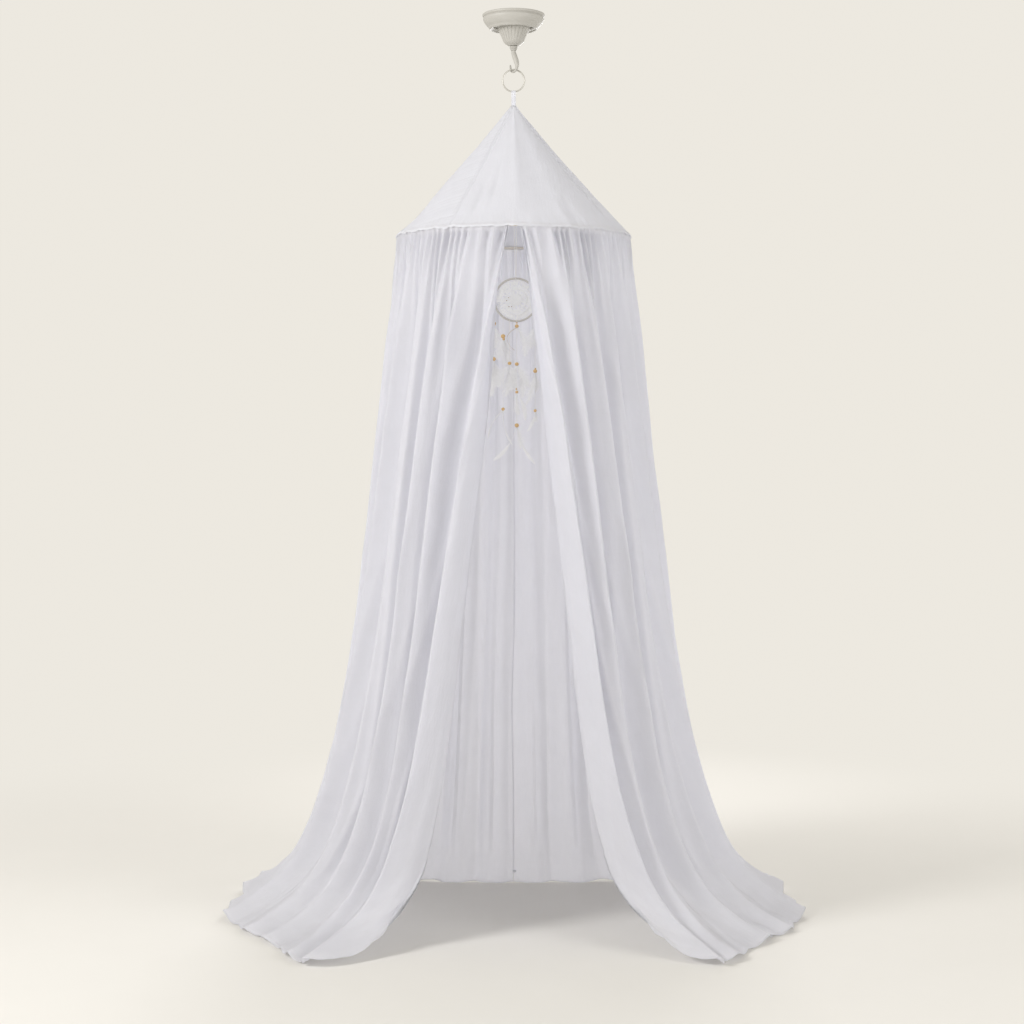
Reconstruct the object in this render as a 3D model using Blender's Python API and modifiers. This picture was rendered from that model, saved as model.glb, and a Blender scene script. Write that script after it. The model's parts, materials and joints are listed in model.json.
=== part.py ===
"""Hanging bed canopy: a four-gore cloth roof on a hoop, two long gathered curtains and a hanging ornament.

The origin is the centre of the ceiling plate's top face, so z = 0 is the ceiling and -Z hangs down.
+X is to the right as seen from the opening, which faces -Y. All lengths are metres.
"""

import math

import bmesh
import bpy
import numpy as np
from mathutils import Vector

# Driving sizes
FLOOR_Z = -2.335
PLATE_RADIUS = 0.080
PLATE_DROP = 0.080
PLATE_RECESS_Z = -0.036
FLUTES = 24
FLUTE_DEPTH = 0.0016
SCREW_X = 0.0470
SCREW_Y = -0.0120
SCREW_RADIUS = 0.0042
SCREW_HEIGHT = 0.0050
COLLAR_RADIUS = 0.0105
COLLAR_LENGTH = 0.011
RING_RADIUS = 0.028
RING_WIRE = 0.002
RING_Z = -0.168
LOOP_WIDTH = 0.0100
LOOP_CLOTH = 0.0012
LOOP_TAIL_Z = -0.2480
LOOP_LAYERS_APART = 0.0008
APEX_Z = -0.2335
HOOP_Z = -0.567
HOOP_RADIUS = 0.29435
HOOP_TUBE = 0.0032
HOOP_ABOVE_SEAM = 0.0002
CURTAIN_TOP_RADIUS = 0.2992
ROOF_HEM_RADIUS = 0.3002
ROOF_SAG = 0.0135
# The shares of the sag that go inwards and downwards, square to the roof's slope
ROOF_SAG_IN = 0.75
ROOF_SAG_DOWN = 0.66
ROOF_CLOTH = 0.0015
CURTAIN_CLOTH = 0.002
GAP = 0.0003

# The roof's four seams are a quarter turn apart, from this angle off the front
ROOF_SEAM_TURN = -32.0
ROOF_HOLE_RADIUS = 0.0058
ROOF_ROWS = (0.0, 0.05, 0.14, 0.30, 0.50, 0.70, 0.88, 1.0)
ROOF_COLUMNS = 12
# Soft dents in the roof: degrees from the front, share of the way down, width in degrees, height share, depth
ROOF_DENTS = (
    (2.0, 0.55, 5.0, 0.45, -0.0035),
    (-20.0, 0.70, 7.0, 0.22, 0.0045),
    (18.0, 0.62, 8.0, 0.30, 0.0030),
    (85.0, 0.60, 10.0, 0.30, 0.0040),
    (-75.0, 0.55, 10.0, 0.35, 0.0040),
    (170.0, 0.60, 12.0, 0.35, 0.0045),
    (-150.0, 0.65, 9.0, 0.25, 0.0040),
)

# The hook lies in an upright plane, turned from the ring's own plane so that the ring can hang in it
HOOK_TURN = math.radians(-50.0)
HOOK_BAR = 0.0052
HOOK_SEAT_SHARE = 0.58
# The hook's bar: distance along its plane, height above the seat of the ring, share of the bar's radius
HOOK_POINTS = (
    (0.0000, 0.0537, 1.10),
    (0.0010, 0.0470, 1.20),
    (0.0050, 0.0370, 1.30),
    (0.0105, 0.0260, 1.25),
    (0.0135, 0.0160, 1.05),
    (0.0115, 0.0070, 0.80),
    (0.0065, 0.0018, 0.62),
    (0.0000, 0.0000, HOOK_SEAT_SHARE),
    (-0.0065, 0.0018, 0.56),
    (-0.0110, 0.0070, 0.52),
    (-0.0125, 0.0140, 0.46),
    (-0.0140, 0.0195, 0.40),
)

# The hanging ornament
DREAM_STRING_RADIUS = 0.0009
DREAM_X = 0.006
DREAM_Z = -0.7275
DREAM_OUTER = 0.0579
DREAM_WRAP = 0.0030
STRAND_RADIUS = 0.0006
BEAD_BORE = 0.0010

# Where each curtain's cloth hangs, from the centre back (share 0) to its front edge (share 1), on the right.
# top: degrees round the hoop from the back. foot: where the cloth meets the floor. hem: where it ends on it.
# slope: share of the outward travel made evenly on the way down. late: how late the rest of it comes.
# spread: extra early travel just below the hoop.
STATION_COLUMNS = ("share", "top", "foot_x", "foot_y", "hem_x", "hem_y", "slope", "late", "spread")
RIGHT_STATIONS = (
    (0.00, 0.0, 0.000, 0.355, 0.000, 0.378, 0.86, 8.0, 0.00),
    (0.17, 30.0, 0.240, 0.368, 0.252, 0.392, 0.80, 8.0, 0.00),
    (0.33, 59.0, 0.465, 0.385, 0.555, 0.455, 0.62, 6.5, 0.00),
    (0.50, 89.0, 0.624, 0.290, 0.724, 0.360, 0.57, 6.0, 0.00),
    (0.58, 103.0, 0.648, 0.165, 0.732, 0.205, 0.57, 6.0, 0.00),
    (0.67, 119.0, 0.655, 0.030, 0.750, 0.035, 0.57, 6.0, 0.05),
    (0.75, 133.0, 0.600, -0.090, 0.705, -0.125, 0.60, 6.5, 0.10),
    (0.83, 147.0, 0.515, -0.195, 0.622, -0.242, 0.63, 7.0, 0.15),
    (0.92, 162.5, 0.420, -0.290, 0.520, -0.390, 0.68, 7.5, 0.25),
    (1.00, 177.0, 0.343, -0.360, 0.430, -0.490, 0.72, 8.0, 0.30),
)
LEFT_STATIONS = RIGHT_STATIONS[:6] + (
    (0.75, 133.0, 0.595, -0.090, 0.692, -0.125, 0.60, 6.5, 0.10),
    (0.83, 148.0, 0.505, -0.185, 0.608, -0.247, 0.64, 7.0, 0.20),
    (0.92, 163.5, 0.400, -0.280, 0.512, -0.398, 0.70, 7.5, 0.20),
    (1.00, 178.0, 0.310, -0.335, 0.404, -0.505, 0.80, 7.5, 0.10),
)
# The hem's front corner is drawn up a little and round: share of the width that it takes, share of the length
CORNER_WIDTH = 0.08
CORNER_RISE = 0.030
FLOOR_BEND = 0.050

# The main folds of each curtain, from the centre back to the front edge.
# width: relative width. depth: relative depth. lean: how far its ridge leans towards the front. reach: its
# ridge's extra stand-out low down.
FOLD_COLUMNS = ("width", "depth", "lean", "reach")
RIGHT_FOLDS = (
    (1.10, 0.45, 0.0, 0.2),
    (1.20, 0.55, 0.2, 0.3),
    (0.95, 0.80, -0.2, 0.2),
    (1.15, 0.95, 0.3, 0.6),
    (0.85, 0.80, 0.1, 0.1),
    (1.10, 1.10, -0.3, 0.8),
    (0.90, 0.85, 0.2, 0.3),
    (1.20, 1.15, 0.4, 0.9),
    (0.80, 0.70, 0.0, 0.2),
    (1.10, 1.10, 0.3, 0.7),
    (0.85, 0.80, -0.2, 0.3),
    (1.05, 1.00, 0.4, 0.8),
    (0.80, 0.85, 0.2, 0.4),
    (0.50, 0.95, 0.1, 0.6),
)
LEFT_FOLDS = (
    (1.10, 0.45, 0.0, 0.2),
    (1.05, 0.60, -0.2, 0.3),
    (1.10, 0.75, 0.2, 0.4),
    (0.90, 0.90, 0.1, 0.2),
    (1.20, 1.05, 0.3, 0.7),
    (0.90, 0.80, -0.2, 0.2),
    (1.05, 1.05, 0.2, 0.6),
    (1.15, 1.15, 0.3, 0.9),
    (0.85, 0.75, -0.1, 0.2),
    (1.10, 1.10, 0.3, 0.8),
    (0.75, 0.70, 0.1, 0.3),
    (0.85, 0.85, 0.3, 0.4),
    (0.85, 1.00, -0.1, 0.6),
    (0.62, 1.15, 0.2, 0.9),
)
FOLD_DEPTH = 0.0155
# The share of its depth that a fold lies further in, so that its ridge just reaches the outline
FOLD_INSET = 0.6
GATHER_DEPTH = 0.0016
FLOOR_FOLD_DEPTH = 0.009
# A fold's shape across: how blunt its ridge is, and how much narrower its ridge is than its valley
RIDGE_BLUNT = 0.02
RIDGE_POWER = 0.38
# How far a leaning ridge slides, as a share of the folds' depth
LEAN_SHARE = 0.7
# The share of the cloth's length in which the folds open out below the hoop
FOLDS_OPEN = 0.16
# How much a fold deepens low down for each unit of its reach, and how much its depth wanders on the way
REACH_SHARE = 0.25
WANDER = 0.12
# How far the free front edge is turned in, over the last part of the cloth's width
EDGE_TURNED_IN = 0.010
EDGE_TURN_SHARE = 0.985
# How far the ridge next to the front edge leans towards that edge, by its share of the way down
FRONT_SWEEP = (
    (0.0, 0.030),
    (0.16, 0.018),
    (0.30, 0.009),
    (0.45, 0.0),
    (0.72, -0.012),
    (0.85, -0.034),
    (1.0, -0.040),
)
# Where a fold is cut into columns of points, as shares of its width from ridge to ridge
FOLD_CUTS = (0.0, 0.22, 0.42, 0.58, 0.78)
# The rows of points down the cloth, as shares of its length, close together where it bends
CLOTH_ROWS = (0.0, 0.02, 0.06, 0.14, 0.26, 0.40, 0.54, 0.66, 0.76, 0.84, 0.895, 0.93, 0.96, 1.0)

# The ornament's strands: distance right of its centre, and how far below its centre the string ends
STRANDS = {
    "a": (-0.0569, 0.158),
    "b": (-0.0331, 0.286),
    "c": (-0.0163, 0.169),
    "d": (0.0023, 0.329),
    "e": (0.0497, 0.291),
}
# The wooden beads: strand, how far below the ornament's centre, and radius
BEADS = (
    ("a", 0.0610, 0.0058),
    ("a", 0.1520, 0.0054),
    ("b", 0.0935, 0.0058),
    ("b", 0.2810, 0.0045),
    ("c", 0.1630, 0.0047),
    ("d", 0.0675, 0.0050),
    ("d", 0.1650, 0.0050),
    ("d", 0.2370, 0.0040),
    ("d", 0.3230, 0.0056),
    ("e", 0.0650, 0.0050),
    ("e", 0.1830, 0.0052),
    ("e", 0.2850, 0.0040),
)
# The feathers under the beads: bead number, tip to the right, tip down, sideways bow, width, distance behind
FEATHERS = (
    (0, -0.043, 0.052, -0.008, 0.006, -0.0022),
    (0, 0.006, 0.070, 0.004, 0.013, 0.0022),
    (1, -0.020, 0.086, -0.006, 0.015, -0.0022),
    (1, -0.005, 0.096, 0.003, 0.013, 0.0022),
    (2, -0.008, 0.064, 0.003, 0.012, -0.0022),
    (4, -0.026, 0.089, -0.004, 0.014, -0.0040),
    (4, -0.006, 0.096, 0.004, 0.013, 0.0022),
    (6, 0.016, 0.088, 0.007, 0.013, 0.0052),
    (7, 0.022, 0.073, 0.006, 0.012, -0.0040),
    (8, -0.060, 0.090, 0.010, 0.013, -0.0030),
    (8, 0.048, 0.100, -0.008, 0.012, 0.0030),
    (9, -0.010, 0.066, -0.004, 0.015, -0.0022),
    (9, 0.013, 0.069, 0.004, 0.013, 0.0022),
    (10, -0.020, 0.083, 0.004, 0.010, -0.0022),
    (11, -0.023, 0.053, 0.004, 0.009, -0.0022),
    (3, -0.039, 0.075, -0.008, 0.006, -0.0022),
)
FEATHER_THICKNESS = 0.0011

COLOURS = {
    # name: (red, green, blue, roughness, metallic)
    "painted_metal": (0.78, 0.76, 0.70, 0.45, 0.0),
    "ring_metal": (0.74, 0.72, 0.66, 0.35, 0.3),
    "cloth": (0.88, 0.88, 0.91, 0.9, 0.0),
    "roof_cloth": (0.87, 0.87, 0.90, 0.9, 0.0),
    "hoop": (0.80, 0.74, 0.64, 0.6, 0.0),
    "cotton_cord": (0.86, 0.84, 0.78, 0.9, 0.0),
    "lace": (0.90, 0.89, 0.86, 0.9, 0.0),
    "wood": (0.62, 0.40, 0.20, 0.5, 0.0),
    "feather": (0.92, 0.92, 0.92, 0.8, 0.0),
}


def clear_scene():
    for old in list(bpy.data.objects):
        bpy.data.objects.remove(old)


def material(name):
    found = bpy.data.materials.get(name)
    if found:
        return found
    red, green, blue, roughness, metallic = COLOURS[name]
    made = bpy.data.materials.new(name)
    made.use_nodes = True
    shader = made.node_tree.nodes["Principled BSDF"]
    shader.inputs["Base Color"].default_value = (red, green, blue, 1.0)
    shader.inputs["Roughness"].default_value = roughness
    shader.inputs["Metallic"].default_value = metallic
    return made


def add_object(name, data, finish, smooth_angle=40.0):
    made = bpy.data.objects.new(name, data)
    PARTS.objects.link(made)
    data.materials.append(material(finish))
    if isinstance(data, bpy.types.Mesh) and smooth_angle:
        data.shade_smooth()
        data.set_sharp_from_angle(angle=math.radians(smooth_angle))
    return made


def frozen(source, name, finish, smooth_angle=40.0):
    """A plain mesh object from an object with modifiers or from a curve, which is then removed."""
    bpy.context.view_layer.update()
    depsgraph = bpy.context.evaluated_depsgraph_get()
    mesh = bpy.data.meshes.new_from_object(source.evaluated_get(depsgraph))
    mesh.name = name
    mesh.materials.clear()
    matrix = source.matrix_world.copy()
    bpy.data.objects.remove(source)
    sheet = bmesh.new()
    sheet.from_mesh(mesh)
    bmesh.ops.remove_doubles(sheet, verts=sheet.verts, dist=0.00001)
    sheet.to_mesh(mesh)
    sheet.free()
    made = add_object(name, mesh, finish, smooth_angle)
    made.matrix_world = matrix
    return made


def turned(name, profile, steps, finish, bored=False):
    """A round solid from (radius, height) pairs that run down its outer side. A bored one is closed up."""
    mesh = bpy.data.meshes.new(name)
    points = [(radius, 0.0, height) for radius, height in profile]
    edges = [(i, i + 1) for i in range(len(points) - 1)]
    if bored:
        edges.append((len(points) - 1, 0))
    mesh.from_pydata(points, edges, [])
    made = add_object(name, mesh, finish, 0)
    screw = made.modifiers.new("turn", "SCREW")
    screw.angle = math.tau
    screw.steps = steps
    screw.render_steps = steps
    screw.use_merge_vertices = True
    screw.merge_threshold = 0.0001
    return frozen(made, name, finish)


def tube(name, points, radius, finish, resolution=1, taper=None):
    """A round bar along a list of points; taper gives each point's share of the radius."""
    curve = bpy.data.curves.new(name, "CURVE")
    curve.dimensions = "3D"
    curve.bevel_depth = radius
    curve.bevel_resolution = resolution
    curve.use_fill_caps = True
    spline = curve.splines.new("POLY")
    spline.points.add(len(points) - 1)
    for i, point in enumerate(points):
        spline.points[i].co = (*point, 1.0)
        spline.points[i].radius = taper[i] if taper else 1.0
    return frozen(add_object(name, curve, finish), name, finish)


def smooth_path(points, count):
    """Evenly parted points on a smooth curve through the given ones."""
    given = np.array(points, float)
    knots = np.arange(len(given), dtype=float)
    return catmull_rom(knots, given, np.linspace(0.0, knots[-1], count))


def catmull_rom(knots, values, at):
    """Values on a smooth curve through a table's rows, at the given places along it."""
    at = np.clip(at, knots[0], knots[-1])
    slopes = np.gradient(values, knots, axis=0)
    low = np.clip(np.searchsorted(knots, at, side="right") - 1, 0, len(knots) - 2)
    step = (knots[low + 1] - knots[low])[:, None]
    part = (at - knots[low])[:, None] / step
    start, end = values[low], values[low + 1]
    cube = part ** 3
    square = part ** 2
    return ((2 * cube - 3 * square + 1) * start + (cube - 2 * square + part) * step * slopes[low]
            + (3 * square - 2 * cube) * end + (cube - square) * step * slopes[low + 1])


def grid_mesh(name, points):
    """An open sheet of quads through a grid of points, rows by columns."""
    rows, columns, _ = points.shape
    faces = [(r * columns + c, (r + 1) * columns + c, (r + 1) * columns + c + 1, r * columns + c + 1)
             for r in range(rows - 1) for c in range(columns - 1)]
    mesh = bpy.data.meshes.new(name)
    mesh.from_pydata([tuple(point) for point in points.reshape(-1, 3)], [], faces)
    return mesh


def cloth_solid(name, points, thickness, finish, planes):
    """A sheet of cloth of real thickness, kept on its own side of each upright plane, given by its normal."""
    made = add_object(name, grid_mesh(name, points), finish, 0)
    solid = made.modifiers.new("thickness", "SOLIDIFY")
    solid.thickness = thickness
    solid.offset = 1.0
    made = frozen(made, name, finish, 60.0)
    for vertex in made.data.vertices:
        for normal in planes:
            away = vertex.co.x * normal[0] + vertex.co.y * normal[1]
            if away < GAP / 2:
                vertex.co.x += normal[0] * (GAP / 2 - away)
                vertex.co.y += normal[1] * (GAP / 2 - away)
    return made


# The fitting on the ceiling

def ceiling_plate():
    """A cast plate with a stepped rim, a flat recess for its screws and a fluted bell below."""
    rim = [(0.0, 0.0), (0.079, 0.0), (PLATE_RADIUS, -0.003), (0.0785, -0.0065), (0.0770, -0.008),
           (0.0782, -0.011), (0.0760, -0.018), (0.0700, -0.027), (0.0630, -0.0345), (0.0590, -0.0385),
           (0.0562, -0.0385), (0.0540, PLATE_RECESS_Z), (0.0435, PLATE_RECESS_Z)]
    bell = [(0.0400, -0.041), (0.0345, -0.049), (0.0305, -0.056), (0.0280, -0.063), (0.0255, -0.069)]
    neck = [(0.0210, -0.0745), (0.0165, -0.078), (0.0140, -PLATE_DROP), (0.0, -PLATE_DROP)]
    made = turned("ceiling_plate", rim + bell + neck, FLUTES * 2, "painted_metal")
    for vertex in made.data.vertices:
        radius = math.hypot(vertex.co.x, vertex.co.y)
        if bell[-1][0] - 0.0001 <= radius <= bell[0][0] + 0.0001 and vertex.co.z < PLATE_RECESS_Z:
            turn = math.atan2(vertex.co.y, vertex.co.x)
            deeper = FLUTE_DEPTH if round(turn / math.tau * FLUTES * 2) % 2 else 0.0
            vertex.co.x *= 1 - deeper / radius
            vertex.co.y *= 1 - deeper / radius
    return made


def plate_screws():
    """Two round-headed screws in the plate's recess."""
    profile = [(0.0, 0.0), (SCREW_RADIUS, 0.0), (SCREW_RADIUS, -0.0012), (SCREW_RADIUS * 0.8, -0.0036),
               (SCREW_RADIUS * 0.35, -SCREW_HEIGHT), (0.0, -SCREW_HEIGHT)]
    for name, x in (("plate_screw_left", -SCREW_X), ("plate_screw_right", SCREW_X)):
        made = turned(name, profile, 12, "painted_metal")
        made.location = (x, SCREW_Y, PLATE_RECESS_Z - GAP)


def hook_collar():
    """The short threaded nut between the bell and the hook."""
    top = -PLATE_DROP - GAP
    profile = [(0.0, top), (0.0085, top), (COLLAR_RADIUS, top - 0.002), (COLLAR_RADIUS, top - 0.006),
               (0.0080, top - COLLAR_LENGTH), (0.0, top - COLLAR_LENGTH)]
    turned("hook_collar", profile, 20, "painted_metal")


def hook():
    """A cast hook whose bar thins towards its tip."""
    seat_z = RING_Z + RING_RADIUS - RING_WIRE - GAP - HOOK_BAR * HOOK_SEAT_SHARE
    along = Vector((math.cos(HOOK_TURN), math.sin(HOOK_TURN), 0.0))
    table = np.array(HOOK_POINTS)
    path = smooth_path(table, 20)
    path[:3, 0] = 0.0  # the root stands straight under the collar
    points = [along * a + Vector((0.0, 0.0, seat_z + height)) for a, height, _ in path]
    tube("hook", points, HOOK_BAR, "painted_metal", 2, [share for _, _, share in path])


def torus(name, location, major, minor, major_steps, minor_steps, finish, rotation=(0.0, 0.0, 0.0)):
    bpy.ops.mesh.primitive_torus_add(major_segments=major_steps, minor_segments=minor_steps,
                                     major_radius=major, minor_radius=minor,
                                     location=location, rotation=rotation)
    raw = bpy.context.object
    mesh = raw.data.copy()
    mesh.materials.clear()
    matrix = raw.matrix_world.copy()
    bpy.data.objects.remove(raw)
    made = add_object(name, mesh, finish)
    made.location = location
    made.rotation_euler = rotation
    return made


def ring():
    """The plain wire ring that hangs in the hook, seen face on from the opening."""
    torus("ring", (0.0, 0.0, RING_Z), RING_RADIUS, RING_WIRE, 32, 8, "ring_metal", (math.pi / 2, 0.0, 0.0))


def hanging_loop():
    """A narrow band folded over the ring's lower wire, its two layers sewn together into the apex."""
    wire_rise = (LOOP_WIDTH / 2) ** 2 / (2 * RING_RADIUS)
    inner = RING_WIRE + GAP + wire_rise
    wire_z = RING_Z - RING_RADIUS
    over = [(inner * math.cos(a), wire_z + inner * math.sin(a)) for a in np.linspace(0.0, math.pi, 7)]
    legs = LOOP_LAYERS_APART / 2
    path = [(legs, LOOP_TAIL_Z), (legs, APEX_Z), (2 * legs, wire_z - 0.012), (inner, wire_z - 0.003)] + over
    path += [(-inner, wire_z - 0.003), (-2 * legs, wire_z - 0.012), (-legs, APEX_Z), (-legs, LOOP_TAIL_Z)]
    points = np.array([[(x, y, z) for x in (-LOOP_WIDTH / 2, LOOP_WIDTH / 2)] for y, z in path])
    cloth_solid("hanging_loop", points, LOOP_CLOTH, "roof_cloth", ())


# The roof

def roof_dent(turn, down):
    """How far the roof's cloth sinks in at a place."""
    depth = 0.0
    for centre, share, wide, tall, deep in ROOF_DENTS:
        off = (turn - centre + 180.0) % 360.0 - 180.0
        depth += deep * math.exp(-(off / wide) ** 2 - ((down - share) / tall) ** 2)
    return depth * min(1.0, 10.0 * down * (1.0 - down))


def front_turn(degrees):
    """A unit direction in plan, by its angle from the front towards +X."""
    turn = math.radians(degrees)
    return math.sin(turn), -math.cos(turn)


def roof_gores():
    """Four sectors of a slightly sagging cone, sewn edge to edge."""
    for number in range(4):
        first = ROOF_SEAM_TURN + 90.0 * number
        points = np.zeros((len(ROOF_ROWS), ROOF_COLUMNS + 1, 3))
        for r, down in enumerate(ROOF_ROWS):
            for c in range(ROOF_COLUMNS + 1):
                turn = first + 90.0 * c / ROOF_COLUMNS
                x, y = front_turn(turn)
                sag = ROOF_SAG * 4.0 * down * (1.0 - down) + roof_dent(turn, down)
                radius = ROOF_HOLE_RADIUS + (ROOF_HEM_RADIUS - ROOF_HOLE_RADIUS) * down - sag * ROOF_SAG_IN
                height = APEX_Z + (HOOP_Z - APEX_Z) * down - sag * ROOF_SAG_DOWN
                points[r, c] = (x * radius, y * radius, height)
        cloth_solid("roof_gore_%d" % (number + 1), points, ROOF_CLOTH, "roof_cloth", gore_planes(first))


def gore_planes(first):
    """The two seam planes of a quarter of the roof, as normals that point into it."""
    return front_turn(first + 90.0), front_turn(first)


def hoop():
    """The stiff hoop that spreads the cloth, inside the seam."""
    place = (0.0, 0.0, HOOP_Z + HOOP_ABOVE_SEAM)
    turn = (0.0, 0.0, math.radians(ROOF_SEAM_TURN))
    torus("hoop", place, HOOP_RADIUS, HOOP_TUBE, 48, 6, "hoop", turn)


# The two curtains

def fold_knots(folds):
    """Where across the cloth each ridge lies, and its number. The last fold is half a one, turned inwards."""
    widths = np.array([row[0] for row in folds])
    edges = np.concatenate(([0.0], np.cumsum(widths) / widths.sum()))
    phases = np.arange(len(edges), dtype=float)
    phases[-1] -= 0.5
    return edges, phases


def fold_phase(folds, share):
    """Which fold a place on the cloth is in, and how far across it, counted in folds from the centre back."""
    edges, phases = fold_knots(folds)
    return np.interp(share, edges, phases)


def fold_columns(folds):
    """The places across the cloth where the mesh has a column of points."""
    edges, _ = fold_knots(folds)
    places = [i + cut for i in range(len(folds)) for cut in FOLD_CUTS] + [len(folds)]
    return np.interp(places, np.arange(len(edges)), edges)


def station_values(stations, shares):
    """Every column of a table of stations, at the given places across the cloth."""
    table = np.array(stations)
    values = catmull_rom(table[:, 0], table[:, 1:], shares)
    return dict(zip(STATION_COLUMNS[1:], values.T))


def cloth_lines(stations, shares, rows):
    """The cloth's own hanging lines without folds: from the hoop down, out and along the floor."""
    at = station_values(stations, shares)
    top = np.radians(at["top"])
    slope, late, spread = at["slope"], at["late"], at["spread"]
    start = np.stack([np.sin(top), np.cos(top)], axis=1) * CURTAIN_TOP_RADIUS
    foot = np.stack([at["foot_x"], at["foot_y"]], axis=1)
    hem = np.stack([at["hem_x"], at["hem_y"]], axis=1)
    hang = np.linspace(0.0, 1.0, 160)[:, None]
    travel = slope * hang + (1 - slope) * hang ** late + spread * hang * (1 - hang) ** 3
    plan = start + (foot - start) * travel[:, :, None]
    drop = (HOOP_Z - GAP - FLOOR_Z) * (1 - hang) * np.ones_like(travel)
    lie = np.linspace(0.0, 1.0, 40)[1:, None]
    floor_plan = foot + (hem - foot) * lie[:, :, None]
    floor_run = np.linalg.norm(hem - foot, axis=1)
    plan = np.concatenate([plan, floor_plan])
    drop = np.concatenate([drop, -lie * floor_run])
    top_height = HOOP_Z - GAP - FLOOR_Z
    soft = 0.5 * (drop + np.sqrt(drop ** 2 + FLOOR_BEND ** 2))
    soft -= 0.5 * (np.sqrt(top_height ** 2 + FLOOR_BEND ** 2) - top_height) * drop / top_height
    height = np.where(drop > 0, soft, soft - FLOOR_BEND / 2 * np.clip(-drop / floor_run, 0, 1) ** 2)
    lines = np.concatenate([plan, height[:, :, None] + FLOOR_Z], axis=2)
    result = np.zeros((len(rows), len(shares), 3))
    for column in range(len(shares)):
        line = lines[:, column]
        run = np.concatenate(([0.0], np.cumsum(np.linalg.norm(np.diff(line, axis=0), axis=1))))
        corner = np.clip((shares[column] - 1 + CORNER_WIDTH) / CORNER_WIDTH, 0.0, 1.0)
        length = run[-1] * (1 - CORNER_RISE * corner ** 2)
        for axis in range(3):
            result[:, column, axis] = np.interp(np.array(rows) * length, run, line[:, axis])
    return result


def smoothstep(low, high, value):
    part = np.clip((value - low) / (high - low), 0.0, 1.0)
    return part * part * (3 - 2 * part)


def curtain_points(stations, folds, shares, rows):
    """The cloth with its folds, for the right side."""
    base = cloth_lines(stations, shares, rows)
    down = np.gradient(base, axis=0)
    across = np.gradient(base, axis=1)
    across /= np.linalg.norm(across, axis=2, keepdims=True)
    outward = np.cross(across, down)
    outward /= np.linalg.norm(outward, axis=2, keepdims=True)
    outward[:, 0, 0] = 0.0
    height = base[:, :, 2] - FLOOR_Z
    on_floor = 1 - smoothstep(0.03, 0.22, height)
    row = np.array(rows)[:, None]
    phase = fold_phase(folds, shares)
    number = np.clip(np.round(phase).astype(int), 0, len(folds) - 1)
    fold = dict(zip(FOLD_COLUMNS, np.array(folds)[number].T))
    depth, lean, reach = fold["depth"], fold["lean"], fold["reach"]
    ridge = 2 * (np.cos(np.pi * phase) ** 2 + RIDGE_BLUNT) ** RIDGE_POWER - 1
    swing = np.sin(math.tau * phase)
    opened = smoothstep(0.0, FOLDS_OPEN, row)
    wander = WANDER * np.sin(5.0 * row + 2.1 * number)
    settle = 1.0 + REACH_SHARE * reach * smoothstep(0.3, 0.85, row) + wander
    hang_depth = FOLD_DEPTH * depth * settle * opened
    move = (hang_depth * (ridge - FOLD_INSET) + GATHER_DEPTH * (1 + ridge)) * (1 - on_floor)
    move += FLOOR_FOLD_DEPTH * depth * (1 + ridge) * on_floor
    edge_fade = smoothstep(0.0, 0.04, shares)
    slide = FOLD_DEPTH * LEAN_SHARE * lean * swing * opened * (1 - 0.6 * on_floor) * edge_fade
    from_ridge = np.clip(phase - (len(folds) - 1), -1.0, 0.5)
    near_front = np.cos(np.pi * from_ridge * np.where(from_ridge < 0, 0.5, 1.0)) ** 2
    slide = slide + near_front * np.interp(row, *np.array(FRONT_SWEEP).T)
    turned_in = smoothstep(EDGE_TURN_SHARE, 1.0, shares) * opened * (1 - on_floor)
    move = move - EDGE_TURNED_IN * turned_in
    return base + outward * move[:, :, None] + across * slide[:, :, None]


def curtains():
    """The two panels, sewn together at the centre back and open at the front."""
    for name, stations, folds, side in (("curtain_right", RIGHT_STATIONS, RIGHT_FOLDS, 1.0),
                                        ("curtain_left", LEFT_STATIONS, LEFT_FOLDS, -1.0)):
        points = curtain_points(stations, folds, fold_columns(folds), CLOTH_ROWS)
        points[:, :, 2] = np.clip(points[:, :, 2], FLOOR_Z, None)
        points[:, :, 0] *= side
        if side > 0:
            points = points[:, ::-1]
        cloth_solid(name, points, CURTAIN_CLOTH, "cloth", ((side, 0.0),))


# The ornament that hangs inside the opening

def dream_string():
    """The thin string from the roof's apex to the ornament."""
    top = (0.0, 0.0, LOOP_TAIL_Z - GAP)
    end = (DREAM_X, 0.0, DREAM_Z + DREAM_OUTER + GAP)
    tube("dream_string", [top, end], DREAM_STRING_RADIUS, "cotton_cord")


def dream_ring():
    """The wrapped ring of the ornament."""
    place = (DREAM_X, 0.0, DREAM_Z)
    major = DREAM_OUTER - DREAM_WRAP
    torus("dream_ring", place, major, DREAM_WRAP, 36, 6, "cotton_cord", (math.pi / 2, 0.0, 0.0))


def dream_web():
    """The dense round of lace inside the ring, ridged in rounds."""
    outer = DREAM_OUTER - 2 * DREAM_WRAP - GAP - 0.0002
    rounds = 5
    profile = [(0.0, 0.0012)]
    for i in range(1, rounds * 2):
        profile.append((outer * i / (rounds * 2), 0.0012 if i % 2 == 0 else 0.0006))
    profile.append((outer, 0.0005))
    lower = [(radius, -height) for radius, height in reversed(profile)]
    made = turned("dream_web", profile + lower, 28, "lace")
    made.location = (DREAM_X, 0.0, DREAM_Z)
    made.rotation_euler = (math.pi / 2, 0.0, 0.0)


def dream_strands():
    """Thin strings that hang from the ring's lower side."""
    for letter, (x, end) in STRANDS.items():
        reach = DREAM_OUTER + GAP
        start = math.sqrt(reach ** 2 - max(abs(x) - STRAND_RADIUS, 0.0) ** 2)
        points = [(DREAM_X + x, 0.0, DREAM_Z - start), (DREAM_X + x, 0.0, DREAM_Z - end)]
        tube("dream_strand_" + letter, points, STRAND_RADIUS, "cotton_cord", 0)


def bead_place(number):
    letter, down, radius = BEADS[number]
    return DREAM_X + STRANDS[letter][0], DREAM_Z - down, radius


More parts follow.
